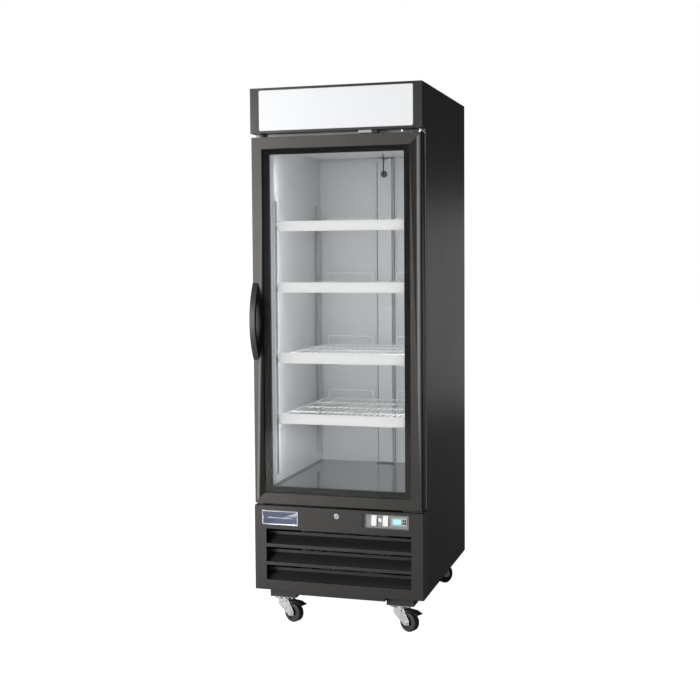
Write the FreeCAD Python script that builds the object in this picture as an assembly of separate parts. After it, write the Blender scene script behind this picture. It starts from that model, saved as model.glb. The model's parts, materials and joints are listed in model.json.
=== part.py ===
import FreeCAD, Part
import math
import os

from FreeCAD import Placement, Rotation, Vector

# Single-door glass merchandiser refrigerator, bottom-mounted cooling unit, on four casters.
# Millimetres. +Z up, the door faces -Y, X runs across the width, z = 0 is the floor.

# ---- driving dimensions: the whole cabinet ----
cabinet_width = 685.8
cabinet_depth = 825.5
front_depth = 60.0
skin = 1.2
side_wall = 50.0
rear_wall = 90.0
roof_wall = 50.0
sheet_gap = 0.3

# ---- heights, from the floor up ----
caster_height = 101.6
rail_height = 38.0
lower_panel_height = 336.0
panel_door_gap = 9.5
door_height = 1434.0
door_header_gap = 15.0
header_height = 174.3
body_lift = 2.0
floor_thickness = 60.0
head_drop = 60.0
ceiling_space = 172.0

# ---- door ----
door_inset = 2.5
door_depth = 50.0
stile_left = 42.0
stile_right = 46.0
rail_top = 45.0
rail_bottom = 42.0
door_corner = 6.0
glass_recess = 3.0
pane = 4.0
spacer_depth = 18.0
spacer_width = 12.0
ledge_width = 20.0
ledge_depth = 16.0
gasket_inset = 18.0
gasket_width = 20.0
gasket_gap = 0.3

# ---- door handle ----
handle_reach = 42.0
handle_length = 303.0
handle_width = 24.0
handle_foot = 30.0
handle_grip = 15.0
handle_rise = 1.0

# ---- hinges ----
hinge_side = 13.0
hinge_front = 22.0
hinge_plate = 4.0
hinge_plate_length = 85.0
hinge_pin = 5.0
hinge_clearance = 0.08
hinge_reach = 16.0

# ---- lock ----
lock_radius = 10.5
lock_plug = 6.5
lock_clearance = 0.06
lock_drop = 27.8
lock_shift = -3.0
cam_length = 46.0
cam_width = 12.0
cam_depth = 22.0
cam_thick = 3.0
cam_slack = 2.0

# ---- lower panel ----
panel_corner = 3.0
louvre_margin = 48.4
louvre_bottom = 40.2
louvre_top = 91.3
louvre_bar = 13.0
louvre_count = 3
louvre_ties = (-160.0, 0.0, 160.0)
louvre_end = 6.0
louvre_tie = 3.0
blade_lip = 11.0
blade_gap = 18.5
blade_front = 14.0
blade_rise = 30.0
blade_thick = 1.6
blade_drop = 2.0
blade_foot = 8.0
badge_width = 150.0
badge_height = 57.0
badge_margin = 31.9
badge_drop = 18.0
badge_thick = 2.0

# ---- controls ----
control_margin = 58.6
control_width = 184.8
control_drop = 11.5
control_height = 54.5
control_recess = 14.0
rocker_width = 21.0
rocker_height = 42.0
rocker_bulge = 60.0
rocker_proud = 5.0
rocker_back = 7.0
rocker_tilt = 7.0
rocker_pin = 1.5
rocker_pin_gap = 0.06
rocker_axis = 4.0
rocker_gap = 1.3
rocker_places = (45.0, 91.0)
housing_wall = 2.0
controller_width = 62.0
controller_height = 34.0
controller_place = 145.0
controller_proud = 3.0
controller_depth = 58.0

# ---- header ----
sign_margin = 35.9
sign_border = 9.8
sign_lap = 5.0
sign_thick = 3.0
sign_corner = 6.0

# ---- lights ----
led_thick = 3.2
led_width = 11.0
led_end = 40.0
sign_lamp_end = 20.0
sign_lamp_height = 22.0
sign_lamp_depth = 9.0

# ---- door switch under the header ----
switch_left = 92.0
switch_length = 52.0
switch_depth = 30.0
switch_height = 11.0
switch_set = 10.0
button_length = 22.0
button_height = 7.0
button_travel = 3.0
button_gap = 1.0
switch_stem = 4.0
switch_stem_up = 12.0
switch_clearance = 0.1

# ---- shelves ----
shelf_count = 4
slot_pitch = 12.7
shelf_shares = (0.94, 0.714, 0.452, 0.226)
strip_inset = 6.0
strip_height = 40.0
strip_thick = 3.0
strip_above = 12.0
strip_hem = 3.0
strip_roll = 2.0
shelf_front = 70.0
shelf_rear_gap = 15.0
shelf_side_gap = 20.9
rail_wire = 3.5
rail_end = 3.5
cross_wire = 3.0
deck_wire = 1.7
deck_pitch = 24.0
deck_end = 1.2
deck_stop_gap = 0.2
shelf_supports = 3
stop_height = 40.0
stop_side = 14.0
stop_duct_gap = (22.0, 26.0)
stop_bend = 10.0
stop_wire = 2.1

# ---- pilasters and clips ----
pilaster_width = 25.0
pilaster_thick = 10.0
pilaster_front = 105.0
pilaster_rear = 84.5
pilaster_foot = 43.0
pilaster_head = 209.8
pilaster_sheet = 2.0
slot_width = 9.0
slot_height = 6.0
clip_width = 12.0
clip_thick = 3.0
clip_drop = 26.0
clip_gap = 0.3

# ---- duct on the rear wall ----
duct_left = -22.0
duct_width = 62.0
duct_depth = 25.0
duct_flange = 9.0
duct_foot = 4.0
duct_head = 6.0
tube_clearance = 3.0
suction_place = (18.0, 5.0)
liquid_place = (42.0, 3.2)
grommet_radius = 15.0
grommet_neck = 11.0
grommet_thick = 6.0
probe_radius = 2.0
probe_drop = 72.0
probe_stand_off = 14.0
probe_shift = (47.0, -187.0)

# ---- evaporator ----
cover_front = 16.0
cover_rear_gap = 30.0
cover_lip = 25.0
fan_radius = 92.0
fan_tip_gap = 10.0
fan_hub = 24.0
fan_depth = 26.0
fan_blades = 5
blade_sheet = 2.0
blade_pitch = 28.0
motor_radius = 34.0
motor_length = 48.0
motor_gap = 4.0
shaft_radius = 4.0
shaft_clearance = 0.05
fan_lift = 34.0
evap_fan_place = 175.0
coil_half_width = 190.0
coil_front = 350.0
coil_depth = 150.0
coil_height = 100.0
fin_count = 20
fin_thick = 1.0
coil_tube = 4.8

# ---- machine compartment ----
rail_margin = 48.9
rail_width = 109.0
rail_wall = 3.0
rail_front = 40.0
rail_rear = 20.0
sill_front = 18.0
sill_height = 19.0
sill_depth = 25.0
pan_thick = 1.5
condenser_front = 75.0
condenser_depth = 60.0
condenser_half_width = 165.0
condenser_height = 250.0
compressor_radius = 82.0
compressor_height = 178.0
compressor_place = (-75.0, 430.0)
drain_gap = 53.0
drain_side = 42.9
drain_front = 430.0
drain_length = 210.0
drain_height = 55.0
drain_wall = 2.0
rear_grille_set = 11.0
grille_rows = 9
grille_columns = 6
grille_low = 95.0
grille_high = 51.0
grille_left = -150.0
grille_step = 72.0
gland_bore = 5.5
gland_radius = 9.0
gland_flange = 15.0
gland_length = 14.0
gland_margin = 87.9
gland_rise = 55.0

# ---- casters ----
caster_side = 105.0
caster_front = 74.0
caster_rear = 80.5
plate_width = 84.0
plate_length = 62.0
plate_thick = 3.0
wheel_share = 0.375
wheel_width = 31.0
caster_trail = 38.0
leg_thick = 2.5
leg_gap = 19.0
axle_radius = 4.0
axle_clearance = 0.08
kingpin = 6.0
race_radius = 23.0
race_height = 9.0
brake_pin = 2.5
bolt_radius = 4.0
bolt_head = 6.5
bolt_span_x = 64.0
bolt_span_y = 42.0

# ---- places worked out from the sizes above ----
half = cabinet_width / 2
front = (handle_reach - cabinet_depth) / 2
back = front + cabinet_depth
base = caster_height + rail_height
panel_top = base + lower_panel_height
door_bottom = panel_top + panel_door_gap
door_top = door_bottom + door_height
header_bottom = door_top + door_header_gap
cabinet_top = header_bottom + header_height
body_front = front + front_depth
body_bottom = panel_top + body_lift
floor_top = body_bottom + floor_thickness
inner_half = half - side_wall
inner_rear = back - rear_wall
inner_top = cabinet_top - roof_wall
ceiling = inner_top - ceiling_space
head_bottom = header_bottom - head_drop
frame_back = body_front + 12.0
door_left = -half + door_inset
door_right = half - door_inset
hinge_x = half - hinge_side
hinge_y = front + hinge_front
duct_right = duct_left + duct_width
louvre_half_width = half - louvre_margin
louvre_opening = (lower_panel_height - louvre_bottom - louvre_top
                  - louvre_bar * (louvre_count - 1)) / louvre_count
louvre_pitch = louvre_opening + louvre_bar
control_left = half - control_margin - control_width
control_bottom = panel_top - control_drop - control_height
control_middle = control_bottom + control_height / 2
sign_half_width = half - sign_margin
shelf_half_width = inner_half - pilaster_thick - shelf_side_gap
strip_half_width = shelf_half_width - strip_inset
shelf_y0 = front + shelf_front + cross_wire
shelf_y1 = inner_rear - duct_depth - shelf_rear_gap
pilaster_low = floor_top + pilaster_foot
pilaster_length = ceiling - pilaster_head - pilaster_low
slot_count = int((pilaster_length - 2 * slot_pitch) / slot_pitch)
rail_outer = half - rail_margin
rail_inner = rail_outer - rail_width
wheel_radius = caster_height * wheel_share
motor_start = fan_depth / 2 + motor_gap
tube_row = inner_rear - duct_depth / 2
tube_places = [(duct_left + x, r) for x, r in (suction_place, liquid_place)]
gland_x = gland_margin - half
gland_z = base + gland_rise
pan_top = base + pan_thick
AXIS_X = Vector(1, 0, 0)
AXIS_Y = Vector(0, 1, 0)
AXIS_Z = Vector(0, 0, 1)


def box(x0, x1, y0, y1, z0, z1):
    return Part.makeBox(x1 - x0, y1 - y0, z1 - z0, Vector(x0, y0, z0))


def rod(start, end, radius):
    a, b = Vector(*start), Vector(*end)
    return Part.makeCylinder(radius, (b - a).Length, a, b - a)


def prism(points, along):
    corners = [Vector(*p) for p in points]
    return Part.Face(Part.makePolygon(corners + corners[:1])).extrude(Vector(*along))


def fuse(shapes):
    joined = shapes[0].multiFuse(shapes[1:]).removeSplitter()
    return joined.Solids[0] if len(joined.Solids) == 1 else joined


def group(shapes):
    return Part.makeCompound(shapes)


def round_edges(shape, radius, test):
    edges = [edge for edge in shape.Edges if test(edge)]
    return shape.makeFillet(radius, edges)


def runs_along(edge, axis):
    if len(edge.Vertexes) != 2:
        return False
    step = edge.Vertexes[1].Point - edge.Vertexes[0].Point
    return step.Length > 0 and abs(abs(step.normalize().dot(axis)) - 1) < 1e-6


def mitred_frame(x0, x1, z0, z1, left, right, bottom, top, y0, y1):
    """Left, right, bottom and top members of a picture frame, cut at 45 degrees or so."""
    a, b, c, d = (x0, z0), (x1, z0), (x1, z1), (x0, z1)
    e, f = (x0 + left, z0 + bottom), (x1 - right, z0 + bottom)
    g, h = (x1 - right, z1 - top), (x0 + left, z1 - top)
    sides = ((a, e, h, d), (b, c, g, f), (a, b, f, e), (d, h, g, c))
    return [prism([(x, y0, z) for x, z in side], (0, y1 - y0, 0)) for side in sides]


def pipe(points, radius, bend):
    """A round tube along straight runs joined by tangent arcs."""
    route = [Vector(*p) for p in points]
    edges = []
    start = route[0]
    for before, corner, after in zip(route, route[1:], route[2:]):
        back_dir = (before - corner).normalize()
        on_dir = (after - corner).normalize()
        half_angle = back_dir.getAngle(on_dir) / 2
        cut = bend / math.tan(half_angle)
        first = corner + back_dir * cut
        last = corner + on_dir * cut
        inward = (back_dir + on_dir).normalize()
        middle = corner + inward * (bend / math.sin(half_angle) - bend)
        edges.append(Part.LineSegment(start, first).toShape())
        edges.append(Part.Arc(first, middle, last).toShape())
        start = last
    edges.append(Part.LineSegment(start, route[-1]).toShape())
    path = Part.Wire(edges)
    heading = (route[1] - route[0]).normalize()
    ring = Part.Wire([Part.makeCircle(radius, route[0], heading)])
    return path.makePipeShell([ring], True, False)


# ---------------------------------------------------------------- outer shell

def make_side_panel(side):
    outer = side * half
    inner = side * (half - skin)
    return box(min(outer, inner), max(outer, inner), body_front, back, base, cabinet_top - skin)


def make_top_panel():
    return box(-half, half, body_front, back, cabinet_top - skin, cabinet_top)


def make_rear_panel():
    side = half - skin
    sheet = box(-side, side, back - skin, back, body_bottom, cabinet_top - skin)
    under = box(-side, side, frame_back, back - skin, body_bottom, body_bottom + skin)
    return group([sheet, under.cut(make_tube_holes(tube_clearance))])


def make_foam():
    side = half - skin
    wall = inner_half + skin
    block = box(-side, side, frame_back, back - skin, body_bottom + skin, cabinet_top - skin)
    room = box(-wall, wall, frame_back, inner_rear + skin, floor_top - skin, inner_top + skin)
    return block.cut(room).cut(make_tube_holes(tube_clearance))


def make_front_frame():
    """Two jambs, a head and a sill that close the insulation around the opening."""
    side = half - skin
    top = cabinet_top - skin
    jambs = [box(-side, -inner_half, body_front, frame_back, body_bottom, top),
             box(inner_half, side, body_front, frame_back, body_bottom, top)]
    head = box(-inner_half, inner_half, body_front, frame_back, head_bottom, top)
    sill = box(-inner_half, inner_half, body_front, frame_back, body_bottom, floor_top)
    return group(jambs + [head, sill])


def make_liner_walls():
    wall = inner_half + skin
    low = floor_top
    left = box(-wall, -inner_half, frame_back, inner_rear + skin, low, inner_top + skin)
    right = box(inner_half, wall, frame_back, inner_rear + skin, low, inner_top + skin)
    rear = box(-inner_half, inner_half, inner_rear, inner_rear + skin, low, inner_top + skin)
    roof = box(-inner_half, inner_half, frame_back, inner_rear, inner_top, inner_top + skin)
    return group([left, right, rear, roof])


def make_liner_floor():
    wall = inner_half + skin
    plate = box(-wall, wall, frame_back, inner_rear + skin, floor_top - skin, floor_top)
    return plate.cut(make_tube_holes(tube_clearance))


# ---------------------------------------------------------------- header

def make_header_housing():
    """Folded sheet box: a front with the sign's opening, four returns and a back."""
    outer = box(-half, half, front, body_front, header_bottom, cabinet_top)
    inner = box(-half + skin, half - skin, front + skin, body_front - skin,
                header_bottom + skin, cabinet_top - skin)
    shell = outer.cut(inner)
    window = box(-sign_half_width, sign_half_width, front - 1, front + skin + 1,
                 header_bottom + sign_border, cabinet_top - sign_border)
    window = round_edges(window, sign_corner, lambda e: runs_along(e, AXIS_Y))
    x, y, z = switch_button_centre()
    hole = rod((x, y, z - 1), (x, y, z + 30), switch_stem + switch_clearance)
    return shell.cut(window).cut(hole)


def make_header_sign():
    return box(-sign_half_width - sign_lap, sign_half_width + sign_lap,
               front + skin, front + skin + sign_thick,
               header_bottom + sign_border - sign_lap, cabinet_top - sign_border + sign_lap)


# ---------------------------------------------------------------- door switch

def switch_button_centre():
    x = switch_left + switch_length + button_gap + button_length / 2
    return x, front + switch_set + switch_depth / 2, header_bottom


def make_door_switch_body():
    return box(switch_left, switch_left + switch_length, front + switch_set,
               front + switch_set + switch_depth, header_bottom - switch_height, header_bottom)


def make_door_switch_button():
    x, y, z = switch_button_centre()
    low = z - button_travel - button_height - button_gap
    cap = box(x - button_length / 2, x + button_length / 2, y - switch_depth / 2,
              y + switch_depth / 2, low, low + button_height)
    cap = round_edges(cap, 1.5, lambda e: runs_along(e, AXIS_Z))
    stem = rod((x, y, low + button_height / 2), (x, y, z + skin + switch_stem_up), switch_stem)
    return fuse([cap, stem])


# ---------------------------------------------------------------- lights

def make_light_strips():
    low, high = floor_top + led_end, head_bottom - led_end
    y0 = body_front + 0.5
    left = box(-inner_half, -inner_half + led_thick, y0, y0 + led_width, low, high)
    right = box(inner_half - led_thick, inner_half, y0, y0 + led_width, low, high)
    middle = (header_bottom + cabinet_top) / 2
    lamp_y = body_front - skin
    lamp_x = sign_half_width - sign_lamp_end
    lamp = box(-lamp_x, lamp_x, lamp_y - sign_lamp_depth, lamp_y,
               middle - sign_lamp_height / 2, middle + sign_lamp_height / 2)
    return group([left, right, lamp])


# ---------------------------------------------------------------- door

def make_door_frame():
    depth_back = front + door_depth
    ledge_front = front + glass_recess + 2 * pane + spacer_depth
    outer = mitred_frame(door_left, door_right, door_bottom, door_top,
                         stile_left, stile_right, rail_bottom, rail_top, front, depth_back)
    ledge = mitred_frame(*glass_edges(), ledge_width, ledge_width, ledge_width, ledge_width,
                         ledge_front, ledge_front + ledge_depth)
    members = [fuse([a, b]) for a, b in zip(outer, ledge)]
    rounded = []
    for member in members[:2]:
        edge_x = door_left if member.CenterOfMass.x < 0 else door_right
        rounded.append(round_edges(member, door_corner, lambda e: is_front_edge(e, edge_x)))
    bore = hinge_pin + hinge_clearance
    holes = [rod((hinge_x, hinge_y, door_top - hinge_reach), (hinge_x, hinge_y, door_top + 1), bore),
             rod((hinge_x, hinge_y, door_bottom - 1), (hinge_x, hinge_y, door_bottom + hinge_reach),
                 bore)]
    holes = group(holes)
    right = rounded[1].cut(holes)
    bottom = members[2].cut(make_cam_pocket()).cut(holes)
    return group([rounded[0], right, bottom, members[3].cut(holes)])


def is_front_edge(edge, edge_x):
    middle = edge.CenterOfMass
    long_edge = runs_along(edge, AXIS_Z) and edge.Length > door_height / 2
    return long_edge and abs(middle.x - edge_x) < 0.01 and abs(middle.y - front) < 0.01


def glass_edges():
    return (door_left + stile_left, door_right - stile_right,
            door_bottom + rail_bottom, door_top - rail_top)


def make_door_glass():
    x0, x1, z0, z1 = glass_edges()
    first = front + glass_recess
    second = first + pane + spacer_depth
    return group([box(x0, x1, first, first + pane, z0, z1),
                  box(x0, x1, second, second + pane, z0, z1)])


def make_glass_spacer():
    x0, x1, z0, z1 = glass_edges()
    first = front + glass_recess + pane
    outer = box(x0, x1, first, first + spacer_depth, z0, z1)
    hole = box(x0 + spacer_width, x1 - spacer_width, first - 1, first + spacer_depth + 1,
               z0 + spacer_width, z1 - spacer_width)
    return outer.cut(hole)


def make_gasket():
    y0 = front + door_depth
    return group(mitred_frame(door_left + gasket_inset, door_right - gasket_inset,
                              door_bottom + gasket_inset, door_top - gasket_inset,
                              gasket_width, gasket_width, gasket_width, gasket_width,
                              y0, body_front - gasket_gap))


def make_handle():
    """A bow that leaves the stile at both ends, with room for fingers behind it."""
    middle = (door_bottom + door_top) / 2 + handle_rise
    low = middle - handle_length / 2
    high = middle + handle_length / 2
    reach = front - handle_reach
    grip = reach + handle_grip
    x = door_left
    outer = Part.Arc(Vector(x, front, high), Vector(x, reach, middle), Vector(x, front, low))
    inner = Part.Arc(Vector(x, front, low + handle_foot), Vector(x, grip, middle),
                     Vector(x, front, high - handle_foot))
    ends = [Part.LineSegment(Vector(x, front, low), Vector(x, front, low + handle_foot)),
            Part.LineSegment(Vector(x, front, high - handle_foot), Vector(x, front, high))]
    wire = Part.Wire([outer.toShape(), ends[0].toShape(), inner.toShape(), ends[1].toShape()])
    bow = Part.Face(wire).extrude(Vector(handle_width, 0, 0))
    return round_edges(bow, 2.5, lambda e: e.Length > handle_length and e.CenterOfMass.y < front - 20)


# ---------------------------------------------------------------- hinges

def make_hinge_brackets():
    """A plate with a fixed pin above the door and another below it."""
    left = half - hinge_plate_length
    y0 = front + 6.0
    brackets = []
    top_z = header_bottom - 5.5
    low_z = panel_top + 2.5
    for z0, pin_low, pin_high in ((top_z - hinge_plate, door_top - hinge_reach + 2, top_z + 3),
                                  (low_z, low_z - 2.3, door_bottom + hinge_reach - 2)):
        plate = box(left, half, y0, body_front, z0, z0 + hinge_plate)
        plate = round_edges(plate, 8.0, lambda e: runs_along(e, AXIS_Z) and e.CenterOfMass.y < y0 + 1)
        pin = rod((hinge_x, hinge_y, pin_low), (hinge_x, hinge_y, pin_high), hinge_pin)
        brackets.append(fuse([plate, pin]))
    return group(brackets)


# ---------------------------------------------------------------- lock

def lock_centre():
    return lock_shift, panel_top - lock_drop


def make_lock_body():
    x, z = lock_centre()
    rim = rod((x, front - 2.0, z), (x, front, z), lock_radius)
    barrel = rod((x, front, z), (x, front + cam_depth - 1.0, z), lock_radius - 2.0)
    bore = rod((x, front - 5, z), (x, front + cam_depth, z), lock_plug + lock_clearance)
    return fuse([rim, barrel]).cut(bore)


def make_lock_cylinder():
    x, z = lock_centre()
    plug = rod((x, front - 3.0, z), (x, front + cam_depth + cam_thick, z), lock_plug)
    keyway = box(x - 0.8, x + 0.8, front - 4, front + 8, z - 3.8, z + 3.8)
    y0 = front + cam_depth
    cam = box(x - cam_length + cam_width / 2, x, y0, y0 + cam_thick,
              z - cam_width / 2, z + cam_width / 2)
    tip_x = x - cam_length + cam_width / 2
    tip = rod((tip_x, y0, z), (tip_x, y0 + cam_thick, z), cam_width / 2)
    return fuse([plug.cut(keyway), cam, tip])


def make_cam_pocket():
    """The room that the cam sweeps on its way up into the door's bottom rail."""
    x, z = lock_centre()
    y0 = front + cam_depth
    return box(x - cam_length, x + cam_width / 2 + cam_slack, y0 - cam_slack,
               y0 + cam_thick + cam_slack, panel_top - 2 * skin, z + cam_length + cam_slack)


# ---------------------------------------------------------------- lower panel

def louvre_openings():
    lows = [base + louvre_bottom + i * louvre_pitch for i in range(louvre_count)]
    return [(low, low + louvre_opening) for low in lows]


def control_edges():
    return (control_left, control_left + control_width,
            control_bottom, control_bottom + control_height)


def make_lower_panel():
    outer = box(-half, half, front, body_front, base, panel_top)
    inner = box(-half + skin, half - skin, front + skin, body_front + 1, base + skin, panel_top - skin)
    shell = outer.cut(inner)
    cuts = [box(-louvre_half_width, louvre_half_width, front - 1, front + skin + 1, low, high)
            for low, high in louvre_openings()]
    x0, x1, z0, z1 = control_edges()
    cuts.append(box(x0, x1, front - 1, front + skin + 1, z0, z1))
    x, z = lock_centre()
    cuts.append(rod((x, front - 1, z), (x, front + skin + 1, z), lock_radius - 2.0))
    cuts.append(make_cam_pocket())
    shell = shell.cut(group(cuts))
    return round_edges(shell, panel_corner, is_panel_corner)


def is_panel_corner(edge):
    middle = edge.CenterOfMass
    upright = runs_along(edge, AXIS_Z) and edge.Length > lower_panel_height / 2
    return upright and abs(abs(middle.x) - half) < 0.01 and abs(middle.y - front) < 0.01


def make_louvre_blade(low, high):
    """A sloped blade that rises towards the back and ends in an upright lip."""
    y_low = front + blade_front
    y_high = y_low + blade_rise
    z_low = low - blade_drop
    z_high = high - blade_gap - blade_lip
    t = blade_thick
    y_foot = y_low - blade_foot
    profile = [(y_low, z_low), (y_high, z_high), (y_high, z_high + blade_lip),
               (y_high + t, z_high + blade_lip), (y_high + t, z_high - t),
               (y_low + t, z_low - t), (y_foot, z_low - t), (y_foot, z_low)]
    x = louvre_half_width
    return prism([(-x, y, z) for y, z in profile], (2 * x, 0, 0))


def make_louvre_grille():
    """Blades spot-welded to two end plates and to a few upright ties behind them."""
    openings = louvre_openings()
    blades = [make_louvre_blade(low, high) for low, high in openings]
    z0, z1 = openings[0][0] - louvre_end, openings[-1][1] + louvre_end
    y0 = front + skin
    y1 = front + blade_front + blade_rise + blade_thick
    x = louvre_half_width
    ends = [box(-x - louvre_end, -x, y0, y1, z0, z1), box(x, x + louvre_end, y0, y1, z0, z1)]
    ties = [box(tie - louvre_tie / 2, tie + louvre_tie / 2, y1, y1 + louvre_tie, z0, z1)
            for tie in louvre_ties]
    return group(blades + ends + ties)


def make_badge():
    x0 = badge_margin - half
    z0 = panel_top - badge_drop - badge_height
    plate = box(x0, x0 + badge_width, front - badge_thick, front, z0, z0 + badge_height)
    return round_edges(plate, 4.0, lambda e: runs_along(e, AXIS_Y))


# ---------------------------------------------------------------- controls

def rocker_centre(place):
    return control_left + place, front + control_recess + rocker_axis, control_middle


def make_control_panel():
    """A tray behind the panel's window, with two switch housings and the controller's hole."""
    x0, x1, z0, z1 = control_edges()
    y0 = front + skin
    y1 = front + control_recess
    tray = box(x0 - 3, x1 + 3, y0, y1 + skin, z0 - 3, z1 + 3)
    tray = tray.cut(box(x0, x1, y0 - 1, y1, z0, z1))
    for place in rocker_places:
        x, y, z = rocker_centre(place)
        w, h = rocker_width / 2 + rocker_gap, rocker_height / 2 + rocker_gap
        tray = tray.cut(box(x - w, x + w, y1 - 1, y1 + skin + 1, z - h, z + h))
    x, z = controller_centre()
    tray = tray.cut(box(x - controller_width / 2 + 3, x + controller_width / 2 - 3, y1 - 1,
                        y1 + skin + 1, z - controller_height / 2 + 3, z + controller_height / 2 - 3))
    return group([tray] + [make_switch_housing(place) for place in rocker_places])


def make_switch_housing(place):
    x, y, z = rocker_centre(place)
    w, h = rocker_width / 2 + rocker_gap, rocker_height / 2 + rocker_gap
    y0 = front + control_recess + skin
    y1 = y + rocker_back + 22.0
    t = housing_wall
    outer = box(x - w - t, x + w + t, y0, y1, z - h - t, z + h + t)
    inner = box(x - w, x + w, y0 - 1, y1 - t, z - h, z + h)
    reach = w + t + 1
    bores = rod((x - reach, y, z), (x + reach, y, z), rocker_pin + rocker_pin_gap)
    return outer.cut(inner).cut(bores)


def make_rocker(place):
    x, y, z = rocker_centre(place)
    w, h = rocker_width / 2, rocker_height / 2
    y_front = front + control_recess - rocker_proud
    y_edge = y_front + rocker_bulge - math.sqrt(rocker_bulge ** 2 - h ** 2)
    back_y = y + rocker_back - 3.0
    face = Part.Arc(Vector(x - w, y_edge, z - h), Vector(x - w, y_front, z),
                    Vector(x - w, y_edge, z + h)).toShape()
    corners = [(y_edge, z + h), (back_y, z + h - 2), (y + rocker_back, z), (back_y, z - h + 2),
               (y_edge, z - h)]
    sides = [Part.LineSegment(Vector(x - w, *a), Vector(x - w, *b)).toShape()
             for a, b in zip(corners, corners[1:])]
    body = Part.Face(Part.Wire([face] + sides)).extrude(Vector(2 * w, 0, 0))
    pin_reach = w + rocker_gap + housing_wall
    pins = rod((x - pin_reach, y, z), (x + pin_reach, y, z), rocker_pin)
    rocker = fuse([body, pins])
    rocker.rotate(Vector(x, y, z), AXIS_X, -rocker_tilt)
    return rocker


def controller_centre():
    return control_left + controller_place, control_middle


def make_controller():
    x, z = controller_centre()
    w, h = controller_width / 2, controller_height / 2
    y1 = front + control_recess
    bezel = box(x - w, x + w, y1 - controller_proud, y1, z - h, z + h)
    bezel = round_edges(bezel, 3.0, lambda e: runs_along(e, AXIS_Y))
    case = box(x - w + 3, x + w - 3, y1 - 1.0, y1 + controller_depth, z - h + 3, z + h - 3)
    return fuse([bezel, case])


# ---------------------------------------------------------------- shelves and their supports

def shelf_level(number):
    """The centre of the shelf's side rails, set by the slot that its clips hook into."""
    return pilaster_low + round(shelf_shares[number] * slot_count) * slot_pitch


def make_pilaster(side, y0):
    outer, inner = side * inner_half, side * (inner_half - pilaster_thick)
    x0, x1 = min(outer, inner), max(outer, inner)
    low = pilaster_low
    bar = box(x0, x1, y0, y0 + pilaster_width, low, low + pilaster_length)
    t = pilaster_sheet
    hollow = box(outer - pilaster_thick + t, outer + pilaster_thick - t, y0 + t,
                 y0 + pilaster_width - t, low - 1, low + pilaster_length + 1)
    bar = bar.cut(hollow)
    middle = y0 + pilaster_width / 2
    slots = [box(x0 - 1, x1 + 1, middle - slot_width / 2, middle + slot_width / 2,
                 low + (i + 1) * slot_pitch - slot_height / 2,
                 low + (i + 1) * slot_pitch + slot_height / 2) for i in range(slot_count)]
    return bar.cut(group(slots))


def pilaster_rows():
    return [front + pilaster_front, inner_rear - pilaster_rear]


def make_pilasters():
    return group([make_pilaster(side, y) for side in (-1, 1) for y in pilaster_rows()])


def make_shelf_clip(side, y0, level):
    """A hooked bracket: a ledge under the shelf's side rail with a gusset below it."""
    face = side * (inner_half - pilaster_thick)
    tip = side * (shelf_half_width - rail_wire)
    top = level - rail_wire - clip_gap
    middle = y0 + pilaster_width / 2
    start = middle - clip_width / 2
    ledge = box(min(face, tip), max(face, tip), start, start + clip_width, top - clip_thick, top)
    gusset = prism([(face, middle - clip_thick / 2, top - clip_thick),
                    (tip, middle - clip_thick / 2, top - clip_thick),
                    (face, middle - clip_thick / 2, top - clip_drop)], (0, clip_thick, 0))
    plate_x = face - side * 2.0
    plate = box(min(face, plate_x), max(face, plate_x), start, start + clip_width,
                top - clip_drop, top)
    return fuse([ledge, gusset, plate])


def make_shelf_clips():
    return group([make_shelf_clip(side, y, shelf_level(n)) for n in range(shelf_count)
                  for side in (-1, 1) for y in pilaster_rows()])


def make_shelf(number):
    """A welded wire deck with two rear stops, and the price strip across its front edge."""
    level = shelf_level(number)
    return group([make_wire_deck(level)] + make_rear_stops(level)
                 + [make_price_strip(level + strip_above)])


def make_wire_deck(level):
    """Two side rails, heavier cross wires between them and thin deck wires on top."""
    y0, y1, side = shelf_y0, shelf_y1, shelf_half_width
    rails = [rod((x, y0 - rail_end, level), (x, y1 + rail_end, level), rail_wire)
             for x in (-side, side)]
    gap = (y1 - y0) / (shelf_supports + 1)
    rows = [y0 + i * gap for i in range(shelf_supports + 2)]
    cross = [rod((-side, y, level), (side, y, level), cross_wire) for y in rows]
    count = int(2 * side / deck_pitch) - 1
    start = -deck_pitch * (count - 1) / 2
    z = level + cross_wire
    low, high = y0 - deck_end, y1 - stop_wire - deck_stop_gap
    deck = [rod((start + i * deck_pitch, low, z), (start + i * deck_pitch, high, z), deck_wire)
            for i in range(count)]
    return fuse(rails + cross + deck)


def make_rear_stops(level):
    """Two low hoops that stand on the rear cross wire, one on each side of the duct."""
    side = shelf_half_width
    spans = ((stop_side - side, duct_left - stop_duct_gap[0]),
             (duct_right + stop_duct_gap[1], side - stop_side))
    low, high = level + cross_wire, level + stop_height
    y = shelf_y1
    return [pipe([(a, y, low), (a, y, high), (b, y, high), (b, y, low)], stop_wire, stop_bend)
            for a, b in spans]


def make_price_strip(top):
    """A flat channel with a rolled lip along its top and bottom."""
    low = top - strip_height
    y1 = front + shelf_front
    y0 = y1 - strip_thick
    x = strip_half_width
    face = box(-x, x, y0, y1, low, top)
    hem = box(-x, x, y0 - strip_roll, y0, low, low + strip_hem)
    brow = box(-x, x, y0 - strip_roll, y0, top - strip_hem, top)
    return fuse([face, hem, brow])


# ---------------------------------------------------------------- duct, probe and tubes

def make_tube_holes(clearance):
    holes = [rod((x, tube_row, body_bottom - 5), (x, tube_row, floor_top + 5), r + clearance)
             for x, r in tube_places]
    return group(holes)


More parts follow.
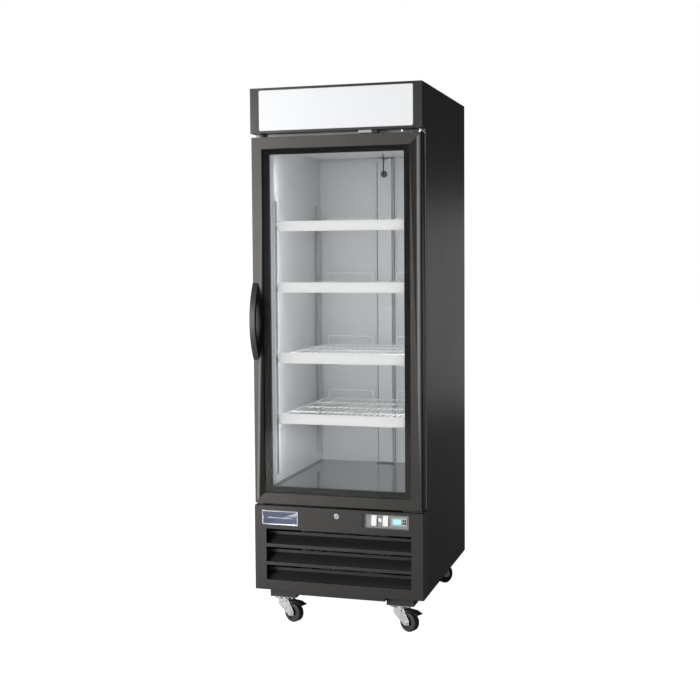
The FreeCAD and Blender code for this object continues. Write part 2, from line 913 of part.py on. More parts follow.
def make_duct_cover():
    """A folded channel down the rear wall with a screwed flange on each side."""
    low, high = floor_top + duct_foot, ceiling - duct_head
    y1 = inner_rear
    y0 = y1 - duct_depth
    t = skin
    channel = box(duct_left, duct_right, y0, y1, low, high)
    channel = channel.cut(box(duct_left + t, duct_right - t, y0 + t, y1 + 1, low - 1, high + 1))
    flanges = [box(duct_left - duct_flange, duct_left, y1 - t, y1, low, high),
               box(duct_right, duct_right + duct_flange, y1 - t, y1, low, high)]
    cover = fuse([channel] + flanges)
    x, y, z = probe_grommet_centre()
    hole = rod((x, y - 5, z), (x, y + 5, z), grommet_neck)
    return cover.cut(hole)


def probe_grommet_centre():
    return duct_left + duct_width / 2, inner_rear - duct_depth, ceiling - probe_drop


def make_probe_lead():
    x, y, z = probe_grommet_centre()
    top = ceiling - probe_radius - 1.0
    run = y - probe_stand_off
    end_x, end_y = probe_end()
    return pipe([(x, y, z), (x, run, z), (x, run, top), (end_x, end_y, top),
                 (end_x, end_y, ceiling)], probe_radius, 2.9)


def probe_end():
    x, y, z = probe_grommet_centre()
    return x + probe_shift[0], y - probe_stand_off + probe_shift[1]


def make_grommets():
    """The probe's grommet in the duct cover, and the power inlet's gland at the back."""
    x, y, z = probe_grommet_centre()
    disc = rod((x, y - grommet_thick + 1, z), (x, y, z), grommet_radius)
    neck = rod((x, y - 1, z), (x, y + skin + 2, z), grommet_neck)
    probe = fuse([disc, neck]).cut(rod((x, y - 20, z), (x, y + 20, z), probe_radius))
    face = back - rear_grille_set
    y0 = face - skin - 3
    flange = rod((gland_x, face, gland_z), (gland_x, face + 4, gland_z), gland_flange)
    tube = rod((gland_x, y0, gland_z), (gland_x, y0 + gland_length, gland_z), gland_radius)
    bore = rod((gland_x, y0 - 20, gland_z), (gland_x, back + 5, gland_z), gland_bore)
    return group([probe, fuse([flange, tube]).cut(bore)])


def make_refrigerant_lines():
    """Suction and liquid lines up the duct, the discharge line, and the filter drier."""
    y = tube_row
    low = body_bottom - 24.0
    high = ceiling + 45.0
    cx, cy = compressor_place[0], front + compressor_place[1]
    top = pan_top + 20 + compressor_height
    (sx, sr), (lx, lr) = tube_places
    coil_y = front + coil_front + coil_depth
    suction = pipe([(cx + 30, cy + 20, top - 20), (cx + 30, cy + 20, low), (sx, y, low),
                    (sx, y, high), (sx, coil_y + 20, high)], sr, 14.0)
    drier_x, drier_y, drier_z = lx + 70, cy - 120, low - 60
    liquid = pipe([(drier_x, drier_y, drier_z + 60), (drier_x, drier_y, low + 6), (lx, y, low + 6),
                   (lx, y, high + 20), (lx, coil_y + 20, high + 20)], lr, 10.0)
    drier = rod((drier_x, drier_y, drier_z), (drier_x, drier_y, drier_z + 60), 11.0)
    cond_y = front + condenser_front + condenser_depth
    out = pipe([(drier_x, drier_y, drier_z), (drier_x, drier_y, drier_z - 40),
                (condenser_half_width + 12, drier_y, drier_z - 40),
                (condenser_half_width + 12, cond_y - 20, drier_z - 40)], lr, 8.0)
    discharge = pipe([(cx - 30, cy - 30, top - 20), (cx - 30, cy - 30, low - 20),
                      (-condenser_half_width - 12, cy - 60, low - 20),
                      (-condenser_half_width - 12, cond_y - 20, low - 20)], 4.0, 12.0)
    return group([suction, fuse([liquid, drier, out]), discharge])


# ---------------------------------------------------------------- evaporator

def evap_fan_centre():
    return 0.0, front + front_depth + evap_fan_place


def make_evaporator_cover():
    """A flat pan under the coil, with a front lip, the fan's opening and its wire guard."""
    y0 = frame_back + cover_front
    y1 = inner_rear - cover_rear_gap
    plate = box(-inner_half, inner_half, y0, y1, ceiling, ceiling + skin)
    lip = box(-inner_half, inner_half, y0, y0 + skin, ceiling, ceiling + cover_lip)
    cover = fuse([plate, lip])
    x, y = evap_fan_centre()
    opening = rod((x, y, ceiling - 5), (x, y, ceiling + 5), fan_radius + fan_tip_gap)
    px, py = probe_end()
    lead = rod((px, py, ceiling - 5), (px, py, ceiling + 5), probe_radius + 1)
    return group([cover.cut(opening).cut(lead), make_fan_guard(x, y, ceiling)])


def make_fan_guard(x, y, z):
    """Wire rings hung under two crossed spokes that lie against the pan."""
    spoke = 1.4
    ring = 1.6
    reach = fan_radius + fan_tip_gap + 8
    sizes = [reach * share for share in (0.28, 0.5, 0.72, 0.94)]
    low = Vector(x, y, z - 2 * spoke - ring + 1.2)
    rings = [Part.makeTorus(r, ring, low, AXIS_Z) for r in sizes]
    high = z - spoke
    spokes = [rod((x - reach, y, high), (x + reach, y, high), spoke),
              rod((x, y - reach, high), (x, y + reach, high), spoke)]
    return fuse(spokes + rings)


def make_fan(radius, depth):
    """Hub and pitched blades about +Z, centred on the origin; the shaft comes in from above."""
    parts = [rod((0, 0, -depth / 2), (0, 0, depth / 2), fan_hub)]
    for i in range(fan_blades):
        blade = box(fan_hub - 3, radius - 2, -radius * 0.3, radius * 0.3, -blade_sheet / 2, blade_sheet / 2)
        blade = round_edges(blade, radius * 0.2, lambda e: runs_along(e, AXIS_Z)
                            and e.CenterOfMass.x > radius / 2)
        blade.rotate(Vector(0, 0, 0), AXIS_X, blade_pitch)
        blade.rotate(Vector(0, 0, 0), AXIS_Z, i * 360.0 / fan_blades)
        parts.append(blade)
    swept = rod((0, 0, -depth * 2), (0, 0, depth * 2), radius)
    fan = fuse(parts).common(swept)
    return fan.cut(rod((0, 0, -2), (0, 0, depth), shaft_radius + shaft_clearance))


def make_motor(length):
    """Motor above a fan at the origin: a can and a shaft that reaches into the hub."""
    can = rod((0, 0, motor_start), (0, 0, motor_start + length), motor_radius)
    shaft = rod((0, 0, 0), (0, 0, motor_start + 2), shaft_radius)
    return [can, shaft]


def make_evaporator_fan():
    x, y = evap_fan_centre()
    fan = make_fan(fan_radius, fan_depth)
    fan.translate(Vector(x, y, ceiling + fan_lift))
    return fan


def make_condenser_fan():
    fan = make_fan(fan_radius, fan_depth)
    fan.Placement = condenser_fan_placement()
    return fan


def condenser_fan_placement():
    y = front + condenser_front + condenser_depth + 30.0
    z = pan_top + condenser_height / 2 + 4.0
    return Placement(Vector(0, y, z), Rotation(AXIS_X, -90))


def make_fan_motors():
    can, shaft = make_motor(motor_length)
    bar_low = motor_start + motor_length - 8
    arm = fan_radius + fan_tip_gap + 8
    bar = box(-arm, arm, -6, 6, bar_low, bar_low + 3)
    x, y = evap_fan_centre()
    legs = [box(-arm, -arm + 3, -6, 6, -fan_lift + skin, bar_low + 3),
            box(arm - 3, arm, -6, 6, -fan_lift + skin, bar_low + 3)]
    upper = fuse([can, shaft, bar] + legs)
    upper.translate(Vector(x, y, ceiling + fan_lift))
    drop = condenser_height / 2 + 4.0
    post = box(-8, 8, 0, drop, bar_low, bar_low + 3)
    foot = box(-8, 8, drop - 3, drop, bar_low, bar_low + 40)
    lower = fuse([can, shaft, post, foot])
    lower.Placement = condenser_fan_placement()
    return group([upper, lower])


def make_fin_block(half_width, y0, depth, z0, height, pitch_rows, pitch_columns):
    """Fins across X pierced by tubes; each tube end is joined to the next by a bend."""
    rows = [z0 + (i + 0.5) * height / pitch_rows for i in range(pitch_rows)]
    columns = [y0 + (i + 0.5) * depth / pitch_columns for i in range(pitch_columns)]
    holes = [rod((-half_width - 10, y, z), (half_width + 10, y, z), coil_tube)
             for y in columns for z in rows]
    fin = box(0, fin_thick, y0, y0 + depth, z0, z0 + height)
    fin = fin.cut(group(holes))
    step = 2 * half_width / (fin_count - 1)
    fins = []
    for i in range(fin_count):
        copy = fin.copy()
        copy.translate(Vector(-half_width + i * step - fin_thick / 2, 0, 0))
        fins.append(copy)
    tubes = [rod((-half_width - 6, y, z), (half_width + 6, y, z), coil_tube)
             for y in columns for z in rows]
    return fins, tubes


def make_evaporator_coil():
    fins, tubes = make_fin_block(coil_half_width, front + coil_front, coil_depth,
                                 ceiling + 22.0, coil_height, 3, 4)
    return group(fins + tubes)


# ---------------------------------------------------------------- machine compartment

def make_base_frame():
    """Base pan, the two caster rails under it and the front sill between them."""
    pan = box(-half + skin, half - skin, body_front, back, base, pan_top)
    y0, y1 = front + rail_front, back - rail_rear
    rails = []
    for side in (-1, 1):
        x0, x1 = sorted((side * rail_inner, side * rail_outer))
        rail = box(x0, x1, y0, y1, caster_height, base)
        rail = rail.cut(box(x0 + rail_wall, x1 - rail_wall, y0 + rail_wall, y1 - rail_wall,
                            caster_height + rail_wall, base + 1))
        rails.append(rail)
    rails = [rail.cut(group(caster_holes())) for rail in rails]
    y2 = front + sill_front
    sill = box(-rail_inner, rail_inner, y2, y2 + sill_depth, base - sill_height, base)
    sill = sill.cut(box(-rail_inner + 2, rail_inner - 2, y2 + 2, y2 + sill_depth - 2,
                        base - sill_height - 1, base - 2))
    return group([pan, sill] + rails)


def make_compressor():
    """Welded steel dome on a foot plate with rubber mounts, and its terminal box."""
    x, y = compressor_place[0], front + compressor_place[1]
    low = pan_top + 20
    r = compressor_radius
    dome = rod((x, y, low), (x, y, low + compressor_height), r)
    dome = round_edges(dome, 38.0, lambda e: True)
    seam = rod((x, y, low + 95), (x, y, low + 99), r + 3)
    foot = box(x - 95, x + 95, y - 62, y + 62, low - 4, low + 1)
    foot = round_edges(foot, 12.0, lambda e: runs_along(e, AXIS_Z))
    box_out = box(x + r - 10, x + r + 38, y - 28, y + 28, low + 50, low + 110)
    mounts = [rod((x + dx, y + dy, pan_top), (x + dx, y + dy, low - 4), 12.0)
              for dx in (-78, 78) for dy in (-46, 46)]
    return group([fuse([dome, seam, foot, box_out])] + mounts)


def make_condenser():
    """Fin block behind the front grille with its sheet shroud around the fan."""
    y0 = front + condenser_front
    low = pan_top + 4.0
    fins, tubes = make_fin_block(condenser_half_width, y0, condenser_depth, low, condenser_height, 6, 2)
    y1 = y0 + condenser_depth
    shroud = box(-condenser_half_width - 8, condenser_half_width + 8, y1, y1 + 22,
                 pan_top, low + condenser_height + 4)
    shroud = shroud.cut(box(-condenser_half_width - 6, condenser_half_width + 6, y1 - 1, y1 + 20,
                            pan_top + 2, low + condenser_height + 2))
    place = condenser_fan_placement().Base
    hole = rod((0, y1 - 1, place.z), (0, y1 + 60, place.z), fan_radius + fan_tip_gap - 4)
    return group(fins + tubes + [shroud.cut(hole)])


def make_condensate_pan():
    """An open tray between the compressor and the right side."""
    x0 = compressor_place[0] + compressor_radius + drain_gap
    x1 = half - drain_side
    y0 = front + drain_front
    y1 = y0 + drain_length
    w = drain_wall
    outer = box(x0, x1, y0, y1, pan_top, pan_top + drain_height)
    return outer.cut(box(x0 + w, x1 - w, y0 + w, y1 - w, pan_top + w, pan_top + drain_height + 1))


def make_rear_grille():
    """Perforated sheet that closes the back of the machine compartment."""
    side = half - skin - sheet_gap
    y1 = back - rear_grille_set
    plate = box(-side, side, y1 - skin, y1, pan_top, body_bottom - sheet_gap)
    first, last = base + grille_low, body_bottom - grille_high
    slots = []
    for row in range(grille_rows):
        z = first + row * (last - first) / (grille_rows - 1)
        for column in range(grille_columns):
            x = grille_left + column * grille_step
            slots.append(box(x - 28, x + 28, y1 - skin - 1, y1 + 1, z - 4, z + 4))
    slots.append(rod((gland_x, y1 - 5, gland_z), (gland_x, y1 + 5, gland_z), gland_radius))
    return plate.cut(group(slots))


# ---------------------------------------------------------------- casters

def caster_places():
    """Name, swivel axis x and y, and the angle that each wheel trails towards."""
    x = half - caster_side
    y0, y1 = front + caster_front, back - caster_rear
    return (("front_left", -x, y0, -19.0), ("front_right", x, y0, -24.0),
            ("rear_left", -x, y1, 50.0), ("rear_right", x, y1, 55.0))


def place_caster(shape, x, y, angle):
    shape.Placement = Placement(Vector(x, y, 0), Rotation(AXIS_Z, angle))
    return shape


def bolt_places():
    return [(x + dx * bolt_span_x / 2, y + dy * bolt_span_y / 2)
            for _, x, y, _ in caster_places() for dx in (-1, 1) for dy in (-1, 1)]


def caster_holes():
    low = caster_height - plate_thick - 1
    holes = [rod((x, y, low), (x, y, caster_height + rail_wall + 1), bolt_radius)
             for x, y in bolt_places()]
    kings = [rod((x, y, low), (x, y, caster_height + rail_wall + 1), kingpin + axle_clearance)
             for _, x, y, _ in caster_places()]
    return holes + kings


def make_caster_plates():
    plates = []
    for _, x, y, _ in caster_places():
        plate = box(x - plate_width / 2, x + plate_width / 2, y - plate_length / 2,
                    y + plate_length / 2, caster_height - plate_thick, caster_height)
        plate = round_edges(plate, 6.0, lambda e: runs_along(e, AXIS_Z))
        plates.append(plate.cut(group(caster_holes())))
    return group(plates)


def make_fork(braked):
    """Swivel race, crown, two legs and the axle; it trails along +X before it is placed."""
    top = caster_height - plate_thick - 0.3
    race = rod((0, 0, top - race_height), (0, 0, top), race_radius)
    king = rod((0, 0, top - race_height), (0, 0, caster_height + 1), kingpin)
    crown_z = top - race_height
    width = leg_gap + leg_thick
    crown = box(-25, 25, -width, width, crown_z - leg_thick, crown_z)
    legs = []
    for y0 in (-width, leg_gap):
        outline = [(-25, y0, crown_z), (25, y0, crown_z), (caster_trail + 12, y0, wheel_radius + 8),
                   (caster_trail + 12, y0, wheel_radius - 8), (caster_trail - 10, y0, wheel_radius - 12),
                   (-25, y0, crown_z - 22)]
        legs.append(prism(outline, (0, leg_thick, 0)))
    reach = width + 5
    axle = rod((caster_trail, -reach, wheel_radius), (caster_trail, reach, wheel_radius), axle_radius)
    nuts = [rod((caster_trail, y, wheel_radius), (caster_trail, y + 4, wheel_radius), 7.0)
            for y in (-width - 4, width)]
    fork = fuse([race, king, crown] + legs + [axle] + nuts)
    if braked:
        x, z = brake_pivot()
        fork = fork.cut(rod((x, -reach, z), (x, reach, z), brake_pin + axle_clearance))
    return fork


def make_wheel():
    """Tyre and hub as two solids, with a running bore for the axle."""
    w = wheel_width / 2
    outline = rod((0, -w, 0), (0, w, 0), wheel_radius)
    outline = round_edges(outline, 6.0, lambda e: e.Length > 6 * wheel_radius * 0.9)
    core = rod((0, -w, 0), (0, w, 0), wheel_radius - 10)
    tyre = outline.cut(core)
    hub = rod((0, -w, 0), (0, w, 0), wheel_radius - 10)
    dish = rod((0, w - 5, 0), (0, w + 1, 0), wheel_radius - 14)
    dish = dish.cut(rod((0, w - 6, 0), (0, w + 2, 0), 11.0))
    other = dish.mirror(Vector(0, 0, 0), AXIS_Y)
    boss = rod((0, -leg_gap + 0.5, 0), (0, leg_gap - 0.5, 0), 9.0)
    hub = hub.cut(dish).cut(other).fuse(boss)
    hub = hub.cut(rod((0, -w - 9, 0), (0, w + 9, 0), axle_radius + axle_clearance))
    to_axle = Vector(caster_trail, 0, wheel_radius)
    return group([tyre.translated(to_axle), hub.translated(to_axle)])


def brake_pivot():
    return 16.0, caster_height - plate_thick - 0.3 - race_height - leg_thick - 3.6


def make_brake():
    """A foot pedal that pivots in the fork above the tyre."""
    x, z = brake_pivot()
    reach = leg_gap + leg_thick + 3
    pin = rod((x, -reach, z), (x, reach, z), brake_pin)
    half_width = leg_gap - 1.2
    end = caster_trail + 26
    arm = prism([(x - 5, -half_width, z + 2), (end, -half_width, z + 1.5),
                 (end + 24, -half_width, z - 8), (end + 24, -half_width, z - 10.5),
                 (end, -half_width, z - 1), (x - 5, -half_width, z - 0.5)], (0, 2 * half_width, 0))
    return fuse([pin, arm])


# ---------------------------------------------------------------- fasteners

def pan_head(x, y, z, toward, radius=3.0, height=1.8):
    start = Vector(x, y, z)
    head = Part.makeCylinder(radius, height, start, toward)
    rim = [e for e in head.Edges if (e.CenterOfMass - start).dot(toward) > height * 0.9
           and e.Curve.TypeId == "Part::GeomCircle"]
    return head.makeFillet(height * 0.45, rim)


def make_fasteners():
    """Screws of the pilasters, duct cover, hinges and rear grille, and the caster bolts."""
    screws = []
    low = pilaster_low
    for side in (-1, 1):
        face = side * (inner_half - pilaster_thick)
        for y in pilaster_rows():
            for z in (low + 6.0, low + pilaster_length - 6.0):
                screws.append(pan_head(face, y + pilaster_width / 2, z, AXIS_X * -side))
    for x in (duct_left - duct_flange / 2, duct_right + duct_flange / 2):
        for share in (0.04, 0.35, 0.66, 0.96):
            z = floor_top + share * (ceiling - floor_top)
            screws.append(pan_head(x, inner_rear - skin, z, AXIS_Y * -1))
    for x in (-half + 20, -half / 3, half / 3, half - 20):
        screws.append(pan_head(x, back - rear_grille_set, base + 60.0, AXIS_Y, 4.0, 2.0))
        screws.append(pan_head(x, back - rear_grille_set, body_bottom - 14.0, AXIS_Y, 4.0, 2.0))
    for x in (half - hinge_plate_length + 10, half - hinge_plate_length + 34):
        top_z = header_bottom - 5.5 - hinge_plate
        screws.append(pan_head(x, body_front - 14, top_z, AXIS_Z * -1, 4.0, 1.6))
    low = caster_height - plate_thick
    for x, y in bolt_places():
        head = rod((x, y, low - 5), (x, y, low), bolt_head)
        shank = rod((x, y, low - 1), (x, y, caster_height + rail_wall + 8), bolt_radius)
        nut = rod((x, y, caster_height + rail_wall), (x, y, caster_height + rail_wall + 6), bolt_head)
        screws.append(fuse([head, shank, nut]))
    return group(screws)


# ---------------------------------------------------------------- write every node

def build_nodes():
    nodes = {
        "left_side_panel": make_side_panel(-1),
        "right_side_panel": make_side_panel(1),
        "top_panel": make_top_panel(),
        "rear_panel": make_rear_panel(),
        "foam_insulation": make_foam(),
        "front_frame": make_front_frame(),
        "liner_walls": make_liner_walls(),
        "liner_floor": make_liner_floor(),
        "header_housing": make_header_housing(),
        "header_sign": make_header_sign(),
        "door_switch_body": make_door_switch_body(),
        "door_switch_button": make_door_switch_button(),
        "light_strips": make_light_strips(),
        "door_frame": make_door_frame(),
        "door_glass": make_door_glass(),
        "glass_spacer": make_glass_spacer(),
        "door_gasket": make_gasket(),
        "door_handle": make_handle(),
        "hinge_brackets": make_hinge_brackets(),
        "lock_body": make_lock_body(),
        "lock_cylinder": make_lock_cylinder(),
        "lower_panel": make_lower_panel(),
        "louvre_grille": make_louvre_grille(),
        "badge_plate": make_badge(),
        "control_panel": make_control_panel(),
        "light_rocker": make_rocker(rocker_places[0]),
        "power_rocker": make_rocker(rocker_places[1]),
        "controller": make_controller(),
        "pilasters": make_pilasters(),
        "shelf_clips": make_shelf_clips(),
        "duct_cover": make_duct_cover(),
        "probe_lead": make_probe_lead(),
        "grommets": make_grommets(),
        "evaporator_cover": make_evaporator_cover(),
        "evaporator_coil": make_evaporator_coil(),
        "evaporator_fan": make_evaporator_fan(),
        "fan_motors": make_fan_motors(),
        "base_frame": make_base_frame(),
        "compressor": make_compressor(),
        "condenser": make_condenser(),
        "condenser_fan": make_condenser_fan(),
        "refrigerant_lines": make_refrigerant_lines(),
        "condensate_pan": make_condensate_pan(),
        "rear_grille": make_rear_grille(),
        "caster_plates": make_caster_plates(),
        "fasteners": make_fasteners(),
    }
    for number in range(shelf_count):
        nodes["shelf_%d" % (number + 1)] = make_shelf(number)
    for name, x, y, angle in caster_places():
        braked = name.startswith("front")
        nodes[name + "_fork"] = place_caster(make_fork(braked), x, y, angle)
        nodes[name + "_wheel"] = place_caster(make_wheel(), x, y, angle)
        if braked:
            nodes[name + "_brake"] = place_caster(make_brake(), x, y, angle)
    return nodes


os.makedirs("parts", exist_ok=True)
for node, shape in build_nodes().items():
    assert shape.isValid(), node
    shape.exportStep("parts/%s.step" % node)
    print(node, len(shape.Solids), "solids", round(shape.Volume / 1000.0, 1), "cm3")
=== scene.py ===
import json
import math

import bmesh
import bpy
from mathutils import Matrix, Vector

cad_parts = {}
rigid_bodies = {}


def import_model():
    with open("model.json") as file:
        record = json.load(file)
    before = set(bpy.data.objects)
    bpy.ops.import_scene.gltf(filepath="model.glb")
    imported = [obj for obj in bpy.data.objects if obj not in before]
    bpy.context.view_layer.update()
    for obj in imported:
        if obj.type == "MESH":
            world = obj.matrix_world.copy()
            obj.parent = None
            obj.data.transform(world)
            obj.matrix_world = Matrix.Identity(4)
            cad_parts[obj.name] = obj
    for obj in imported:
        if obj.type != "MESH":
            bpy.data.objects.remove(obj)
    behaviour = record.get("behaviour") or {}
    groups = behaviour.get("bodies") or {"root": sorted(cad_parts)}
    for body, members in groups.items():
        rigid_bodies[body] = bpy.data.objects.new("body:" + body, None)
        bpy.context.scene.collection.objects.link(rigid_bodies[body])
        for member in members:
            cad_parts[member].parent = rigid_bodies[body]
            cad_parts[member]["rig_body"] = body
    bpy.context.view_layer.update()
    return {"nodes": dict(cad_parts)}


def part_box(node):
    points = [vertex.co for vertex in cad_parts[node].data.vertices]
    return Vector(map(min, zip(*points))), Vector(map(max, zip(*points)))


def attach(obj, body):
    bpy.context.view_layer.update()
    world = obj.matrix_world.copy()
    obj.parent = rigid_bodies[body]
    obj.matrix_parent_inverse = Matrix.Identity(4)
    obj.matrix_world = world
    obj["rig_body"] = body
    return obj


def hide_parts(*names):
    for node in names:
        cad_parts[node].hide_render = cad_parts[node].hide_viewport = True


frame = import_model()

nodes = frame["nodes"]
print("frame loaded:", len(nodes), "nodes")


# selection helpers

def deselectAll():
    if bpy.context.mode != "OBJECT":
        bpy.ops.object.mode_set(mode="OBJECT")
    bpy.ops.object.select_all(action="DESELECT")


def makeActive(obj):
    deselectAll()
    obj.select_set(True)
    bpy.context.view_layer.objects.active = obj


def settle(obj, name):
    # bakes the place into the mesh, so the object itself sits at the origin
    makeActive(obj)
    bpy.ops.object.transform_apply(location=True, rotation=True, scale=True)
    obj.name = name
    obj.data.name = name
    return obj


def addCube(name, low, high):
    centre = (Vector(low) + Vector(high)) / 2
    size = Vector(high) - Vector(low)
    deselectAll()
    bpy.ops.mesh.primitive_cube_add(size=1, location=centre)
    cube = bpy.context.object
    cube.scale = size
    return settle(cube, name)


def bevelEdges(obj, width, segments=2, angle=30):
    makeActive(obj)
    bevel = obj.modifiers.new("softEdge", "BEVEL")
    bevel.width = width
    bevel.segments = segments
    bevel.limit_method = "ANGLE"
    bevel.angle_limit = math.radians(angle)
    bevel.use_clamp_overlap = True
    bevel.miter_outer = "MITER_ARC"
    bpy.ops.object.modifier_apply(modifier="softEdge")
    bpy.ops.object.shade_smooth_by_angle(angle=math.radians(35))
    flat = obj.modifiers.new("flatFaces", "WEIGHTED_NORMAL")
    flat.weight = 100
    flat.keep_sharp = True
    bpy.ops.object.modifier_apply(modifier="flatFaces")
    return obj


def joinAll(pieces, name):
    deselectAll()
    for piece in pieces:
        piece.select_set(True)
    bpy.context.view_layer.objects.active = pieces[0]
    bpy.ops.object.join()
    joined = bpy.context.object
    joined.name = name
    joined.data.name = name
    return joined


def pickFaces(obj, test):
    # enters edit mode with just the faces that pass the test selected
    makeActive(obj)
    bpy.ops.object.mode_set(mode="EDIT")
    bpy.ops.mesh.select_mode(type="FACE")
    bpy.ops.mesh.select_all(action="DESELECT")
    mesh = bmesh.from_edit_mesh(obj.data)
    for face in mesh.faces:
        if test(face):
            face.select_set(True)
    bmesh.update_edit_mesh(obj.data)


def leaveEdit():
    bpy.ops.object.mode_set(mode="OBJECT")


def insetFront(obj, thickness, depth):
    # a border and a raised or sunk field on the side that faces the front
    pickFaces(obj, lambda face: face.normal.y < -0.9)
    bpy.ops.mesh.inset(thickness=thickness, depth=depth)
    leaveEdit()


# parts whose flat faces have openings through them keep their own mesh on those faces
openFaced = ["lower_panel", "header_housing", "control_panel", "duct_cover", "base_frame", "rear_panel",
             "door_frame", "front_frame", "caster_plates"]


def softenNode(nodeName, width, segments=2):
    # a copy of a machined part with its edges broken, shown in its place
    source = nodes[nodeName]
    copy = source.copy()
    copy.data = source.data.copy()
    bpy.context.scene.collection.objects.link(copy)
    copy.parent = None
    copy.matrix_world = Matrix.Identity(4)
    for key in list(copy.keys()):
        del copy[key]
    copy.name = nodeName + "Finished"
    copy.data.name = copy.name
    makeActive(copy)
    bpy.ops.object.mode_set(mode="EDIT")
    bpy.ops.mesh.select_all(action="SELECT")
    bpy.ops.mesh.customdata_custom_splitnormals_clear()
    bpy.ops.mesh.remove_doubles(threshold=0.00001)
    if nodeName not in openFaced:
        bpy.ops.mesh.dissolve_limited(angle_limit=math.radians(0.2))
    bpy.ops.object.mode_set(mode="OBJECT")
    bevelEdges(copy, width, segments)
    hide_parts(nodeName)
    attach(copy, source["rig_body"])
    return copy


# camera

cameraView = {"place": (1.3438, -4.7514, 1.4554), "yaw": -16.448, "pitch": -3.257, "roll": -0.395,
              "lens": 61.09, "shiftY": -0.0371}


def makeCamera(view):
    data = bpy.data.cameras.new("viewCamera")
    camera = bpy.data.objects.new("viewCamera", data)
    bpy.context.scene.collection.objects.link(camera)
    data.sensor_width = 36
    data.lens = view["lens"]
    data.shift_y = view["shiftY"]
    data.clip_end = 60
    yaw, pitch, roll = (math.radians(view[k]) for k in ("yaw", "pitch", "roll"))
    forward = Vector((math.sin(yaw) * math.cos(pitch), math.cos(yaw) * math.cos(pitch),
                      math.sin(pitch)))
    right = Vector((math.cos(yaw), -math.sin(yaw), 0))
    up = right.cross(forward)
    rolledRight = right * math.cos(roll) + up * math.sin(roll)
    rolledUp = rolledRight.cross(forward)
    turn = Matrix((rolledRight, rolledUp, -forward)).transposed().to_4x4()
    camera.matrix_world = Matrix.Translation(view["place"]) @ turn
    bpy.context.scene.camera = camera
    return camera


makeCamera(cameraView)
print("camera set")


# studio: pale floor, bright surround for the eye, softboxes for the object

studio = {"floorSize": 60, "surround": 1.0, "ambient": 0.06, "floorGlow": 1.0}
lampList = {
    "floorLeft": {"place": (-1.05, -1.75, 1.0), "aim": (-0.6, -1.3, 0), "size": (0.5, 0.5), "power": 9,
                  "mirrored": False},
    "keyLeft": {"place": (-3.4, -4.4, 1.35), "aim": (0, 0, 1.0), "size": (2.4, 2.6), "power": 300},
    "frontWide": {"place": (1.4, -6.4, 2.2), "aim": (0, 0, 1.1), "size": (2.0, 3.0), "power": 60},
    "overhead": {"place": (0, -0.6, 4.4), "aim": (0, 0, 0), "size": (3.0, 3.0), "power": 30},
    "sideGlow": {"place": (1.75, 4.4, 1.05), "aim": (0.34, 0, 1.05), "size": (2.0, 1.6), "power": 5},
}


def aimAt(place, target):
    return (Vector(target) - Vector(place)).to_track_quat("-Z", "Y").to_matrix().to_4x4()


def makeLamp(name, lamp):
    data = bpy.data.lights.new(name, "AREA")
    data.shape = "RECTANGLE"
    data.size, data.size_y = lamp["size"]
    data.energy = lamp["power"]
    data.color = lamp.get("colour", (1, 1, 1))
    light = bpy.data.objects.new(name, data)
    bpy.context.scene.collection.objects.link(light)
    light.matrix_world = Matrix.Translation(lamp["place"]) @ aimAt(lamp["place"], lamp["aim"])
    light.visible_camera = False
    light.visible_transmission = False
    light.visible_glossy = lamp.get("mirrored", True)
    return light


def makeWorld():
    world = bpy.data.worlds.new("studioWorld")
    bpy.context.scene.world = world
    world.use_nodes = True
    tree = world.node_tree
    tree.nodes.clear()
    path = tree.nodes.new("ShaderNodeLightPath")
    seen = tree.nodes.new("ShaderNodeBackground")
    seen.inputs["Color"].default_value = (1, 1, 1, 1)
    seen.inputs["Strength"].default_value = studio["surround"]
    felt = tree.nodes.new("ShaderNodeBackground")
    felt.inputs["Color"].default_value = (1, 1, 1, 1)
    felt.inputs["Strength"].default_value = studio["ambient"]
    mix = tree.nodes.new("ShaderNodeMixShader")
    out = tree.nodes.new("ShaderNodeOutputWorld")
    tree.links.new(path.outputs["Is Camera Ray"], mix.inputs["Fac"])
    tree.links.new(felt.outputs["Background"], mix.inputs[1])
    tree.links.new(seen.outputs["Background"], mix.inputs[2])
    tree.links.new(mix.outputs["Shader"], out.inputs["Surface"])


def makeFloor():
    deselectAll()
    bpy.ops.mesh.primitive_plane_add(size=studio["floorSize"], location=(0, 0, 0))
    floor = settle(bpy.context.object, "studioFloor")
    material = bpy.data.materials.new("floorPaper")
    material.use_nodes = True
    tree = material.node_tree
    shader = tree.nodes["Principled BSDF"]
    shader.inputs["Base Color"].default_value = (0.42, 0.42, 0.42, 1)
    shader.inputs["Roughness"].default_value = 0.9
    shader.inputs["Emission Color"].default_value = (1, 1, 1, 1)
    path = tree.nodes.new("ShaderNodeLightPath")
    glow = tree.nodes.new("ShaderNodeMath")
    glow.operation = "MULTIPLY"
    glow.inputs[1].default_value = studio["floorGlow"]
    tree.links.new(path.outputs["Is Camera Ray"], glow.inputs[0])
    tree.links.new(glow.outputs["Value"], shader.inputs["Emission Strength"])
    floor.data.materials.append(material)


makeWorld()
makeFloor()
for lampName, lampFacts in lampList.items():
    makeLamp(lampName, lampFacts)
bpy.context.scene.view_settings.view_transform = "Standard"
print("studio set")


# shared surface effects

def newGroup(name, inputs, outputs):
    group = bpy.data.node_groups.new(name, "ShaderNodeTree")
    for title, kind, value in inputs:
        socket = group.interface.new_socket(title, in_out="INPUT", socket_type=kind)
        socket.default_value = value
    for title, kind in outputs:
        group.interface.new_socket(title, in_out="OUTPUT", socket_type=kind)
    start = group.nodes.new("NodeGroupInput")
    end = group.nodes.new("NodeGroupOutput")
    return group, start, end


def addMath(tree, operation, a, b):
    node = tree.nodes.new("ShaderNodeMath")
    node.operation = operation
    for index, value in enumerate((a, b)):
        if isinstance(value, (int, float)):
            node.inputs[index].default_value = value
        else:
            tree.links.new(value, node.inputs[index])
    return node.outputs["Value"]


